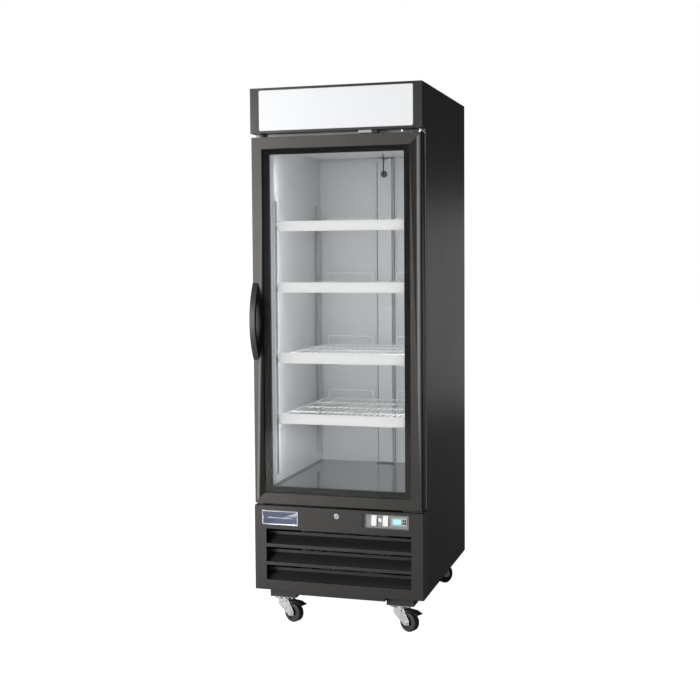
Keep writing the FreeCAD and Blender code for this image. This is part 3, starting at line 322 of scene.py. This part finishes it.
def makePeelGroup():
    # fine sprayed texture: an uneven sheen and a shallow relief
    group, start, end = newGroup("sprayPeel", [
        ("Scale", "NodeSocketFloat", 900.0), ("Roughness", "NodeSocketFloat", 0.4),
        ("Spread", "NodeSocketFloat", 0.08)],
        [("Roughness", "NodeSocketFloat"), ("Height", "NodeSocketFloat")])
    place = group.nodes.new("ShaderNodeTexCoord")
    fine = group.nodes.new("ShaderNodeTexNoise")
    fine.inputs["Detail"].default_value = 3
    group.links.new(place.outputs["Object"], fine.inputs["Vector"])
    group.links.new(start.outputs["Scale"], fine.inputs["Scale"])
    broad = group.nodes.new("ShaderNodeTexNoise")
    broad.inputs["Scale"].default_value = 3.5
    broad.inputs["Detail"].default_value = 4
    group.links.new(place.outputs["Object"], broad.inputs["Vector"])
    centred = addMath(group, "SUBTRACT", broad.outputs["Fac"], 0.5)
    swing = addMath(group, "MULTIPLY", centred, start.outputs["Spread"])
    total = addMath(group, "ADD", swing, start.outputs["Roughness"])
    group.links.new(total, end.inputs["Roughness"])
    group.links.new(fine.outputs["Fac"], end.inputs["Height"])
    return group


def makeGrainGroup():
    # brushed lines that run along one axis, drawn out by the Stretch vector
    group, start, end = newGroup("brushedGrain", [
        ("Stretch", "NodeSocketVector", (40.0, 40.0, 900.0)), ("Roughness", "NodeSocketFloat", 0.35),
        ("Spread", "NodeSocketFloat", 0.2)],
        [("Roughness", "NodeSocketFloat"), ("Height", "NodeSocketFloat"), ("Mask", "NodeSocketFloat")])
    place = group.nodes.new("ShaderNodeTexCoord")
    scaled = group.nodes.new("ShaderNodeVectorMath")
    scaled.operation = "MULTIPLY"
    group.links.new(place.outputs["Object"], scaled.inputs[0])
    group.links.new(start.outputs["Stretch"], scaled.inputs[1])
    lines = group.nodes.new("ShaderNodeTexNoise")
    lines.inputs["Scale"].default_value = 1
    lines.inputs["Detail"].default_value = 4
    group.links.new(scaled.outputs["Vector"], lines.inputs["Vector"])
    centred = addMath(group, "SUBTRACT", lines.outputs["Fac"], 0.5)
    swing = addMath(group, "MULTIPLY", centred, start.outputs["Spread"])
    total = addMath(group, "ADD", swing, start.outputs["Roughness"])
    group.links.new(total, end.inputs["Roughness"])
    group.links.new(lines.outputs["Fac"], end.inputs["Height"])
    group.links.new(lines.outputs["Fac"], end.inputs["Mask"])
    return group


def makeMottleGroup():
    # two close colours in soft clouds
    group, start, end = newGroup("softMottle", [
        ("Light", "NodeSocketColor", (0.5, 0.5, 0.5, 1)),
        ("Dark", "NodeSocketColor", (0.4, 0.4, 0.4, 1)),
        ("Scale", "NodeSocketFloat", 6.0)], [("Color", "NodeSocketColor")])
    place = group.nodes.new("ShaderNodeTexCoord")
    cloud = group.nodes.new("ShaderNodeTexNoise")
    cloud.inputs["Detail"].default_value = 5
    group.links.new(place.outputs["Object"], cloud.inputs["Vector"])
    group.links.new(start.outputs["Scale"], cloud.inputs["Scale"])
    mix = group.nodes.new("ShaderNodeMix")
    mix.data_type = "RGBA"
    group.links.new(cloud.outputs["Fac"], mix.inputs["Factor"])
    group.links.new(start.outputs["Dark"], mix.inputs["A"])
    group.links.new(start.outputs["Light"], mix.inputs["B"])
    group.links.new(mix.outputs["Result"], end.inputs["Color"])
    return group


def makeSpangleGroup():
    # the crystal patches of hot-dip zinc
    group, start, end = newGroup("zincSpangle", [
        ("Scale", "NodeSocketFloat", 90.0), ("Light", "NodeSocketColor", (0.7, 0.72, 0.73, 1)),
        ("Dark", "NodeSocketColor", (0.5, 0.52, 0.53, 1))],
        [("Color", "NodeSocketColor"), ("Mask", "NodeSocketFloat")])
    place = group.nodes.new("ShaderNodeTexCoord")
    cells = group.nodes.new("ShaderNodeTexVoronoi")
    group.links.new(place.outputs["Object"], cells.inputs["Vector"])
    group.links.new(start.outputs["Scale"], cells.inputs["Scale"])
    split = group.nodes.new("ShaderNodeSeparateColor")
    group.links.new(cells.outputs["Color"], split.inputs["Color"])
    mix = group.nodes.new("ShaderNodeMix")
    mix.data_type = "RGBA"
    group.links.new(split.outputs["Red"], mix.inputs["Factor"])
    group.links.new(start.outputs["Dark"], mix.inputs["A"])
    group.links.new(start.outputs["Light"], mix.inputs["B"])
    group.links.new(mix.outputs["Result"], end.inputs["Color"])
    group.links.new(split.outputs["Green"], end.inputs["Mask"])
    return group


peelGroup = makePeelGroup()
grainGroup = makeGrainGroup()
mottleGroup = makeMottleGroup()
spangleGroup = makeSpangleGroup()
print("surface groups made")


# materials

def startMaterial(name):
    material = bpy.data.materials.new(name)
    material.use_nodes = True
    tree = material.node_tree
    shader = tree.nodes["Principled BSDF"]
    return material, tree, shader


def useGroup(tree, group, **values):
    node = tree.nodes.new("ShaderNodeGroup")
    node.node_tree = group
    for title, value in values.items():
        node.inputs[title].default_value = value
    return node


def addBump(tree, shader, height, strength, distance):
    bump = tree.nodes.new("ShaderNodeBump")
    bump.inputs["Strength"].default_value = strength
    bump.inputs["Distance"].default_value = distance
    tree.links.new(height, bump.inputs["Height"])
    tree.links.new(bump.outputs["Normal"], shader.inputs["Normal"])


def mottled(tree, shader, light, dark, scale):
    node = useGroup(tree, mottleGroup, Light=(*light, 1), Dark=(*dark, 1), Scale=scale)
    tree.links.new(node.outputs["Color"], shader.inputs["Base Color"])


def sprayed(tree, shader, scale, roughness, spread, strength, distance=0.0004):
    node = useGroup(tree, peelGroup, Scale=scale, Roughness=roughness, Spread=spread)
    tree.links.new(node.outputs["Roughness"], shader.inputs["Roughness"])
    addBump(tree, shader, node.outputs["Height"], strength, distance)


def brushed(tree, shader, stretch, roughness, spread, strength, distance=0.0002):
    node = useGroup(tree, grainGroup, Stretch=stretch, Roughness=roughness, Spread=spread)
    tree.links.new(node.outputs["Roughness"], shader.inputs["Roughness"])
    addBump(tree, shader, node.outputs["Height"], strength, distance)


def makePaint(name, light, dark, roughness, scale=700, strength=0.12):
    material, tree, shader = startMaterial(name)
    mottled(tree, shader, light, dark, 4)
    sprayed(tree, shader, scale, roughness, 0.07, strength)
    return material


def makeMetal(name, light, dark, roughness, stretch, strength=0.15):
    material, tree, shader = startMaterial(name)
    shader.inputs["Metallic"].default_value = 1
    mottled(tree, shader, light, dark, 12)
    brushed(tree, shader, stretch, roughness, 0.16, strength)
    return material


def makeZinc(name):
    material, tree, shader = startMaterial(name)
    shader.inputs["Metallic"].default_value = 1
    node = useGroup(tree, spangleGroup, Scale=120, Light=(0.78, 0.8, 0.8, 1), Dark=(0.58, 0.6, 0.6, 1))
    tree.links.new(node.outputs["Color"], shader.inputs["Base Color"])
    sprayed(tree, shader, 500, 0.38, 0.12, 0.1)
    return material


def makePlastic(name, light, dark, roughness, scale=1200, strength=0.08):
    material, tree, shader = startMaterial(name)
    mottled(tree, shader, light, dark, 9)
    sprayed(tree, shader, scale, roughness, 0.06, strength, 0.0002)
    return material


def makeGlow(name, colour, strength):
    material, tree, shader = startMaterial(name)
    mottled(tree, shader, colour, tuple(c * 0.97 for c in colour), 7)
    sprayed(tree, shader, 600, 0.35, 0.05, 0.05)
    shader.inputs["Emission Color"].default_value = (*colour, 1)
    shader.inputs["Emission Strength"].default_value = strength
    return material


def makeGlass(name):
    material, tree, shader = startMaterial(name)
    shader.inputs["Base Color"].default_value = (0.97, 0.975, 0.97, 1)
    shader.inputs["Transmission Weight"].default_value = 1
    shader.inputs["IOR"].default_value = 1.45
    node = useGroup(tree, peelGroup, Scale=4, Roughness=0.012, Spread=0.01)
    tree.links.new(node.outputs["Roughness"], shader.inputs["Roughness"])
    return material


finishes = {
    "cabinetBlack": makePaint("cabinetBlack", (0.018, 0.018, 0.018), (0.014, 0.014, 0.0145), 0.36),
    "chassisBlack": makePaint("chassisBlack", (0.024, 0.024, 0.024),
                              (0.016, 0.016, 0.017), 0.45, 500, 0.2),
    "louvreBlack": makePaint("louvreBlack", (0.009, 0.009, 0.009),
                             (0.006, 0.006, 0.006), 0.42, 500, 0.2),
    "panelBlack": makePaint("panelBlack", (0.034, 0.031, 0.029), (0.027, 0.025, 0.023), 0.3),
    "doorBlack": makeMetal("doorBlack", (0.066, 0.063, 0.059),
                           (0.053, 0.051, 0.048), 0.46, (60, 60, 900)),
    "linerWhite": makePaint("linerWhite", (0.66, 0.67, 0.68), (0.60, 0.61, 0.62), 0.30, 300, 0.15),
    "floorSteel": makeMetal("floorSteel", (0.31, 0.305, 0.33),
                            (0.25, 0.245, 0.27), 0.12, (700, 20, 700)),
    "frameGrey": makePaint("frameGrey", (0.50, 0.51, 0.52), (0.44, 0.45, 0.46), 0.4),
    "zinc": makeZinc("zinc"),
    "railSteel": makeMetal("railSteel", (0.80, 0.80, 0.81),
                           (0.70, 0.70, 0.71), 0.3, (500, 500, 12)),
    "chrome": makeMetal("chrome", (0.86, 0.86, 0.88),
                        (0.8, 0.8, 0.82), 0.12, (300, 300, 300), 0.03),
    "aluminium": makeMetal("aluminium", (0.78, 0.79, 0.8), (0.68, 0.69, 0.7), 0.34, (20, 600, 600)),
    "copper": makeMetal("copper", (0.80, 0.46, 0.30), (0.62, 0.32, 0.20), 0.28, (200, 200, 30)),
    "wireWhite": makePaint("wireWhite", (0.88, 0.885, 0.89), (0.83, 0.835, 0.84), 0.28, 900, 0.08),
    "cardWhite": makePaint("cardWhite", (0.66, 0.66, 0.66), (0.62, 0.62, 0.62), 0.3, 900, 0.06),
    "switchWhite": makePlastic("switchWhite", (0.86, 0.86, 0.85), (0.8, 0.8, 0.79), 0.3),
    "plasticBlack": makePlastic("plasticBlack", (0.028, 0.028, 0.028),
                                (0.020, 0.020, 0.020), 0.42, 1500, 0.15),
    "panelGrey": makePlastic("panelGrey", (0.25, 0.252, 0.248), (0.21, 0.212, 0.21), 0.4),
    "plasticGrey": makePlastic("plasticGrey", (0.40, 0.41, 0.40), (0.34, 0.35, 0.34), 0.42),
    # this dark grey is the sealant's colour and is also painted shade at the foot and sides of the duct
    "sealAndShadeGrey": makePlastic("sealAndShadeGrey", (0.16, 0.16, 0.165), (0.12, 0.12, 0.125), 0.5, 900, 0.2),
    "rubberSlate": makePlastic("rubberSlate", (0.12, 0.14, 0.18),
                               (0.08, 0.095, 0.13), 0.35, 800, 0.1),
    "rubberBlack": makePlastic("rubberBlack", (0.022, 0.022, 0.023),
                               (0.014, 0.014, 0.015), 0.62, 800, 0.3),
    "tyreBlack": makePlastic("tyreBlack", (0.030, 0.030, 0.030),
                             (0.018, 0.018, 0.018), 0.5, 600, 0.3),
    "foamCream": makePlastic("foamCream", (0.80, 0.72, 0.50), (0.70, 0.62, 0.42), 0.9, 300, 0.6),
    "fritBlack": makePlastic("fritBlack", (0.034, 0.036, 0.035), (0.028, 0.030, 0.029), 0.25),
    "badgeBlue": makePaint("badgeBlue", (0.085, 0.100, 0.170), (0.065, 0.078, 0.130), 0.22),
    "signGlow": makeGlow("signGlow", (0.50, 0.507, 0.515), 0.6),
    "ledGlow": makeGlow("ledGlow", (0.90, 0.95, 1.0), 2.0),
    "displayGlow": makeGlow("displayGlow", (0.20, 0.48, 0.95), 1.2),
    "clearGlass": makeGlass("clearGlass"),
}

nodeFinish = {
    "left_side_panel": "cabinetBlack", "right_side_panel": "cabinetBlack", "top_panel": "cabinetBlack",
    "rear_panel": "zinc", "foam_insulation": "foamCream", "front_frame": "frameGrey",
    "liner_walls": "linerWhite", "liner_floor": "floorSteel", "header_housing": "cabinetBlack",
    "header_sign": "signGlow", "door_switch_body": "plasticGrey", "door_switch_button": "plasticBlack",
    "light_strips": "ledGlow", "door_frame": "doorBlack", "door_glass": "clearGlass",
    "glass_spacer": "plasticBlack", "door_gasket": "rubberBlack", "door_handle": "plasticBlack",
    "hinge_brackets": "chrome", "lock_body": "chrome", "lock_cylinder": "chrome",
    "lower_panel": "panelBlack", "louvre_grille": "louvreBlack", "badge_plate": "chrome",
    "control_panel": "panelGrey", "light_rocker": "switchWhite", "power_rocker": "switchWhite",
    "controller": "plasticGrey", "pilasters": "railSteel", "shelf_clips": "zinc",
    "duct_cover": "linerWhite", "probe_lead": "rubberBlack", "grommets": "rubberSlate",
    "evaporator_cover": "linerWhite", "evaporator_coil": "aluminium", "evaporator_fan": "plasticBlack",
    "fan_motors": "chassisBlack", "base_frame": "chassisBlack", "compressor": "chassisBlack",
    "condenser": "aluminium", "condenser_fan": "plasticBlack", "refrigerant_lines": "copper",
    "condensate_pan": "zinc", "rear_grille": "zinc", "caster_plates": "zinc", "fasteners": "zinc",
}
shelfNames = ["shelf_%d" % (i + 1) for i in range(4)]
casterNames = ["front_left", "front_right", "rear_left", "rear_right"]
for shelfName in shelfNames:
    nodeFinish[shelfName] = "wireWhite"
for casterName in casterNames:
    nodeFinish[casterName + "_fork"] = "zinc"
    nodeFinish[casterName + "_wheel"] = "tyreBlack"
    if casterName + "_brake" in nodes:
        nodeFinish[casterName + "_brake"] = "chassisBlack"


def coat(obj, finish):
    obj.data.materials.clear()
    obj.data.materials.append(finishes[finish])


for nodeName, finish in nodeFinish.items():
    coat(nodes[nodeName], finish)
print("finishes given to", len(nodeFinish), "nodes")


# lamps that belong to the cabinet's own lighting

caseLight = {"strip": 1.25, "front": 2.7, "colour": (0.96, 0.98, 1.0)}


def lightInside():
    # the two LED bars, and the studio light that the panes let in
    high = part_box("liner_walls")[1]
    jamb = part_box("light_strips")
    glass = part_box("door_glass")
    middle = (glass[0].z + glass[1].z) / 2
    tall = (glass[1].z - glass[0].z) * 0.94
    for side, label in ((-1, "Left"), (1, "Right")):
        place = (side * (high.x - 0.03), jamb[0].y + 0.06, middle)
        makeLamp("caseLamp" + label,
                 {"place": place, "aim": (0, high.y, middle), "size": (0.02, tall),
                  "power": caseLight["strip"], "colour": caseLight["colour"], "mirrored": False})
    place = (0, glass[1].y + 0.004, middle)
    makeLamp("throughGlass", {"place": place, "aim": (0, 1, middle), "size": (0.54, tall),
                              "power": caseLight["front"], "mirrored": False})


lightInside()


# machined parts with their edges broken

softEdges = {
    "header_housing": 0.0008, "lower_panel": 0.0006, "door_frame": 0.0008, "door_handle": 0.0008,
    "control_panel": 0.0005, "light_rocker": 0.0006, "power_rocker": 0.0006, "controller": 0.0006,
    "hinge_brackets": 0.0006, "lock_body": 0.0003, "left_side_panel": 0.0004,
    "right_side_panel": 0.0004, "top_panel": 0.0004, "base_frame": 0.0006, "duct_cover": 0.0003,
    "front_frame": 0.0008, "door_gasket": 0.003, "compressor": 0.001, "condensate_pan": 0.0004,
    "caster_plates": 0.0005, "louvre_grille": 0.0004, "shelf_clips": 0.0004, "grommets": 0.0006,
    "rear_panel": 0.0003, "door_switch_body": 0.0008, "fan_motors": 0.0006,
}
for casterName in casterNames:
    softEdges[casterName + "_fork"] = 0.0004
    if casterName + "_brake" in nodes:
        softEdges[casterName + "_brake"] = 0.0005
finished = {}
for nodeName, width in softEdges.items():
    finished[nodeName] = softenNode(nodeName, width)
print("edges broken on", len(finished), "parts")


lowerHinge = {"reach": 0.1, "pinShown": 0.012}


def blackenLowerHinge():
    # the lower bracket is painted, and only its pin stays bright
    bracket = finished["hinge_brackets"]
    bracket.data.materials.append(finishes["chassisBlack"])
    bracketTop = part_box("hinge_brackets")[0].z + lowerHinge["reach"]
    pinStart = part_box("lower_panel")[1].z + lowerHinge["pinShown"]
    paintTop = min(bracketTop, pinStart)
    pickFaces(bracket, lambda face: face.calc_center_median().z < paintTop)
    bracket.active_material_index = 1
    bpy.ops.object.material_slot_assign()
    leaveEdit()


blackenLowerHinge()


# door: the black border printed inside the outer pane

glassBorder = {"left": 0.0268, "right": 0.0244, "low": 0.0254, "high": 0.0205, "depth": 0.0003}


def makeGlassBorder():
    low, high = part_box("door_glass")
    facts = glassBorder
    y = low.y + 0.0036
    ring = addCube("glassBorder", (low.x + 0.0005, y, low.z + 0.0005),
                   (high.x - 0.0005, y + facts["depth"], high.z - 0.0005))
    cutter = addCube("borderCutter", (low.x + facts["left"], y - 0.01, low.z + facts["low"]),
                     (high.x - facts["right"], y + 0.01, high.z - facts["high"]))
    bevelUprights(cutter, 0.004)
    cutAway(ring, cutter)
    return placePiece(ring, "fritBlack", "door")


def bevelUprights(obj, width):
    # rounds the four edges that run front to back
    makeActive(obj)
    bpy.ops.object.mode_set(mode="EDIT")
    bpy.ops.mesh.select_mode(type="EDGE")
    bpy.ops.mesh.select_all(action="DESELECT")
    mesh = bmesh.from_edit_mesh(obj.data)
    for edge in mesh.edges:
        run = edge.verts[0].co - edge.verts[1].co
        if abs(run.y) > 0.9 * run.length:
            edge.select_set(True)
    bmesh.update_edit_mesh(obj.data)
    bpy.ops.mesh.bevel(offset=width, segments=6, affect="EDGES")
    leaveEdit()


def cutAway(obj, cutter):
    makeActive(obj)
    cut = obj.modifiers.new("cutAway", "BOOLEAN")
    cut.operation = "DIFFERENCE"
    cut.solver = "EXACT"
    cut.object = cutter
    bpy.ops.object.modifier_apply(modifier="cutAway")
    bpy.data.objects.remove(cutter)


def placePiece(obj, finish, body):
    coat(obj, finish)
    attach(obj, body)
    return obj


makeGlassBorder()
print("glass border made")


# cabinet: LED chips along the two jambs

ledRow = {"pitch": 0.0315, "size": 0.0035, "rise": 0.0009, "setBack": 0.006, "fromWall": 0.0044,
          "aboveFloor": 0.052, "belowCover": 0.060}


def makeLedChips():
    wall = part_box("liner_walls")
    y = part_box("light_strips")[0].y + ledRow["setBack"]
    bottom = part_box("liner_floor")[1].z + ledRow["aboveFloor"]
    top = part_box("evaporator_cover")[0].z - ledRow["belowCover"]
    count = int((top - bottom) / ledRow["pitch"])
    size, rise = ledRow["size"], ledRow["rise"]
    chips = []
    for side in (-1, 1):
        face = side * (wall[1].x - ledRow["fromWall"])
        for index in range(count):
            z = bottom + index * ledRow["pitch"]
            xs = sorted((face, face - side * rise))
            chip = addCube("ledChip", (xs[0], y - size / 2, z - size / 2),
                           (xs[1], y + size / 2, z + size / 2))
            chips.append(chip)
    row = joinAll(chips, "ledChips")
    bevelEdges(row, 0.0003, 1)
    return placePiece(row, "ledGlow", "cabinet")


makeLedChips()
print("LED chips made")


# controls: the controller's lit window and keys, and the label between the rockers

controllerFace = {"window": (0.0295, 0.0185), "windowShift": -0.0085, "windowRise": 0.0006,
                  "key": (0.0062, 0.00744), "keyStart": 0.0163, "keyStep": 0.0078, "keyDrop": 0.0052,
                  "keyRise": 0.0007, "seat": 0.0004}


def makeControllerFace():
    low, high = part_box("controller")
    facts = controllerFace
    x, z = (low.x + high.x) / 2, (low.z + high.z) / 2
    y, seated = low.y, low.y + facts["seat"]
    w, h = facts["window"]
    wx = x + facts["windowShift"]
    window = addCube("controllerWindow", (wx - w / 2, y - facts["windowRise"], z - h / 2),
                     (wx + w / 2, seated, z + h / 2))
    insetFront(window, 0.0012, -0.0004)
    bevelEdges(window, 0.0003, 1)
    placePiece(window, "displayGlow", "cabinet")
    keys = []
    w, h = facts["key"]
    for column in (0, 1):
        for row in (-1, 1):
            kx = x + facts["keyStart"] + column * facts["keyStep"]
            kz = z + row * facts["keyDrop"]
            key = addCube("controllerKey", (kx - w / 2, y - facts["keyRise"], kz - h / 2),
                          (kx + w / 2, seated, kz + h / 2))
            insetFront(key, 0.0009, 0.0002)
            keys.append(key)
    pad = bevelEdges(joinAll(keys, "controllerKeys"), 0.0003, 1)
    placePiece(pad, "plasticBlack", "cabinet")


switchLabel = {"halfWidth": 0.006, "below": 0.004, "above": 0.009, "trayDepth": 0.0128, "rise": 0.0005,
               "seat": 0.0002}


def makeSwitchLabel():
    left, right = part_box("light_rocker"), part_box("power_rocker")
    facts = switchLabel
    x = (left[1].x + right[0].x) / 2
    z = (left[0].z + left[1].z) / 2
    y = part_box("control_panel")[0].y + facts["trayDepth"]
    plate = addCube("switchLabel", (x - facts["halfWidth"], y - facts["rise"], z - facts["below"]),
                    (x + facts["halfWidth"], y + facts["seat"], z + facts["above"]))
    insetFront(plate, 0.0008, -0.0001)
    bevelEdges(plate, 0.0002, 1)
    placePiece(plate, "switchWhite", "cabinet")


makeControllerFace()
makeSwitchLabel()
print("control faces made")


# badge: a plain blue field in a silver rim, with one generic raised bar

badge = {"rim": 0.0045, "sunk": 0.0006, "barShare": 0.34, "barHalfHeight": 0.0022,
         "barFront": 0.0004, "barBack": 0.0012}


def makeBadge():
    low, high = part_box("badge_plate")
    plate = softenNode("badge_plate", 0.0005)
    coat(plate, "chrome")
    plate.data.materials.append(finishes["badgeBlue"])
    pickFaces(plate, lambda face: face.normal.y < -0.99 and face.calc_area() > 0.004)
    bpy.ops.mesh.dissolve_faces()
    bpy.ops.mesh.inset(thickness=badge["rim"], depth=-badge["sunk"])
    plate.active_material_index = 1
    bpy.ops.object.material_slot_assign()
    leaveEdit()
    x, z = (low.x + high.x) / 2, (low.z + high.z) / 2
    halfLength = (high.x - low.x) * badge["barShare"]
    halfHeight = badge["barHalfHeight"]
    bar = addCube("badgeBar", (x - halfLength, low.y + badge["barFront"], z - halfHeight),
                  (x + halfLength, low.y + badge["barBack"], z + halfHeight))
    insetFront(bar, 0.0012, 0)
    bevelEdges(bar, 0.0006, 2)
    placePiece(bar, "chrome", "cabinet")


makeBadge()
print("badge made")


# shelves: a card on each price strip, held between two lips

priceStrip = {"lipHeight": 0.0022, "lipRise": 0.0011, "lipInset": 0.004, "lipEnd": 0.001,
              "cardRise": 0.0004, "cardMargin": 0.0006, "seat": 0.0002, "faceDepth": 0.0004}


def makeStripLips(shelfName):
    shelf = nodes[shelfName]
    facts = priceStrip
    points = [shelf.matrix_world @ vertex.co for vertex in shelf.data.vertices]
    face = min(point.y for point in points)
    near = [point for point in points if point.y < face + facts["faceDepth"]]
    x0, x1 = min(p.x for p in near), max(p.x for p in near)
    z0, z1 = min(p.z for p in near), max(p.z for p in near)
    end, margin, seated = facts["lipEnd"], facts["cardMargin"], face + facts["seat"]
    lips = []
    for z in (z0 + facts["lipInset"], z1 - facts["lipInset"]):
        lip = addCube("stripLip", (x0 + end, face - facts["lipRise"], z - facts["lipHeight"] / 2),
                      (x1 - end, seated, z + facts["lipHeight"] / 2))
        insetFront(lip, 0.0005, 0.0002)
        lips.append(lip)
    pair = bevelEdges(joinAll(lips, shelfName + "Lips"), 0.0003, 2)
    placePiece(pair, "cardWhite", shelf["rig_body"])
    card = addCube(shelfName + "Card", (x0 + margin, face - facts["cardRise"], z0 + margin),
                   (x1 - margin, seated, z1 - margin))
    insetFront(card, 0.0012, -0.0001)
    bevelEdges(card, 0.0002, 2)
    placePiece(card, "cardWhite", shelf["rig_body"])


for shelfName in shelfNames:
    makeStripLips(shelfName)
print("price strip cards made")


# cabinet: a sealant bead where the side walls meet the floor, and painted shade: a dark strip along the
# foot of the duct and a dark line down each side of it

sealAndShadeBead = {"width": 0.0060, "rise": 0.0060, "wallSheet": 0.0014, "sunk": 0.0004, "start": 0.004,
            "ductGap": 0.0003, "lineWidth": 0.0022, "lineDepth": 0.0035, "lineDrop": 0.01}


def makeSealAndShadeBead():
    facts = sealAndShadeBead
    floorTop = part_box("liner_floor")[1].z
    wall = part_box("liner_walls")[1].x - facts["wallSheet"]
    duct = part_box("duct_cover")
    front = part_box("light_strips")[1].y + facts["start"]
    low, high = floorTop - facts["sunk"], floorTop + facts["rise"]
    beads = []
    for side in (-1, 1):
        xs = sorted((side * wall, side * (wall - facts["width"])))
        beads.append(addCube("sealSide", (xs[0], front, low), (xs[1], duct[0].y, high)))
    # painted shade: a dark strip along the foot of the duct
    rear = duct[0].y - facts["ductGap"]
    beads.append(addCube("ductFootShade", (duct[0].x, rear - facts["width"], low), (duct[1].x, rear, high)))
    # painted shade: a dark line down each side of the duct
    line = facts["lineWidth"]
    for x in (duct[0].x, duct[1].x - line):
        beads.append(addCube("ductShadeLine", (x, duct[1].y - facts["lineDepth"], high),
                             (x + line, duct[1].y, duct[1].z - facts["lineDrop"])))
    bead = joinAll(beads, "sealAndShadeBead")
    bevelEdges(bead, 0.0018, 3)
    return placePiece(bead, "sealAndShadeGrey", "cabinet")


makeSealAndShadeBead()
print("sealant bead made")
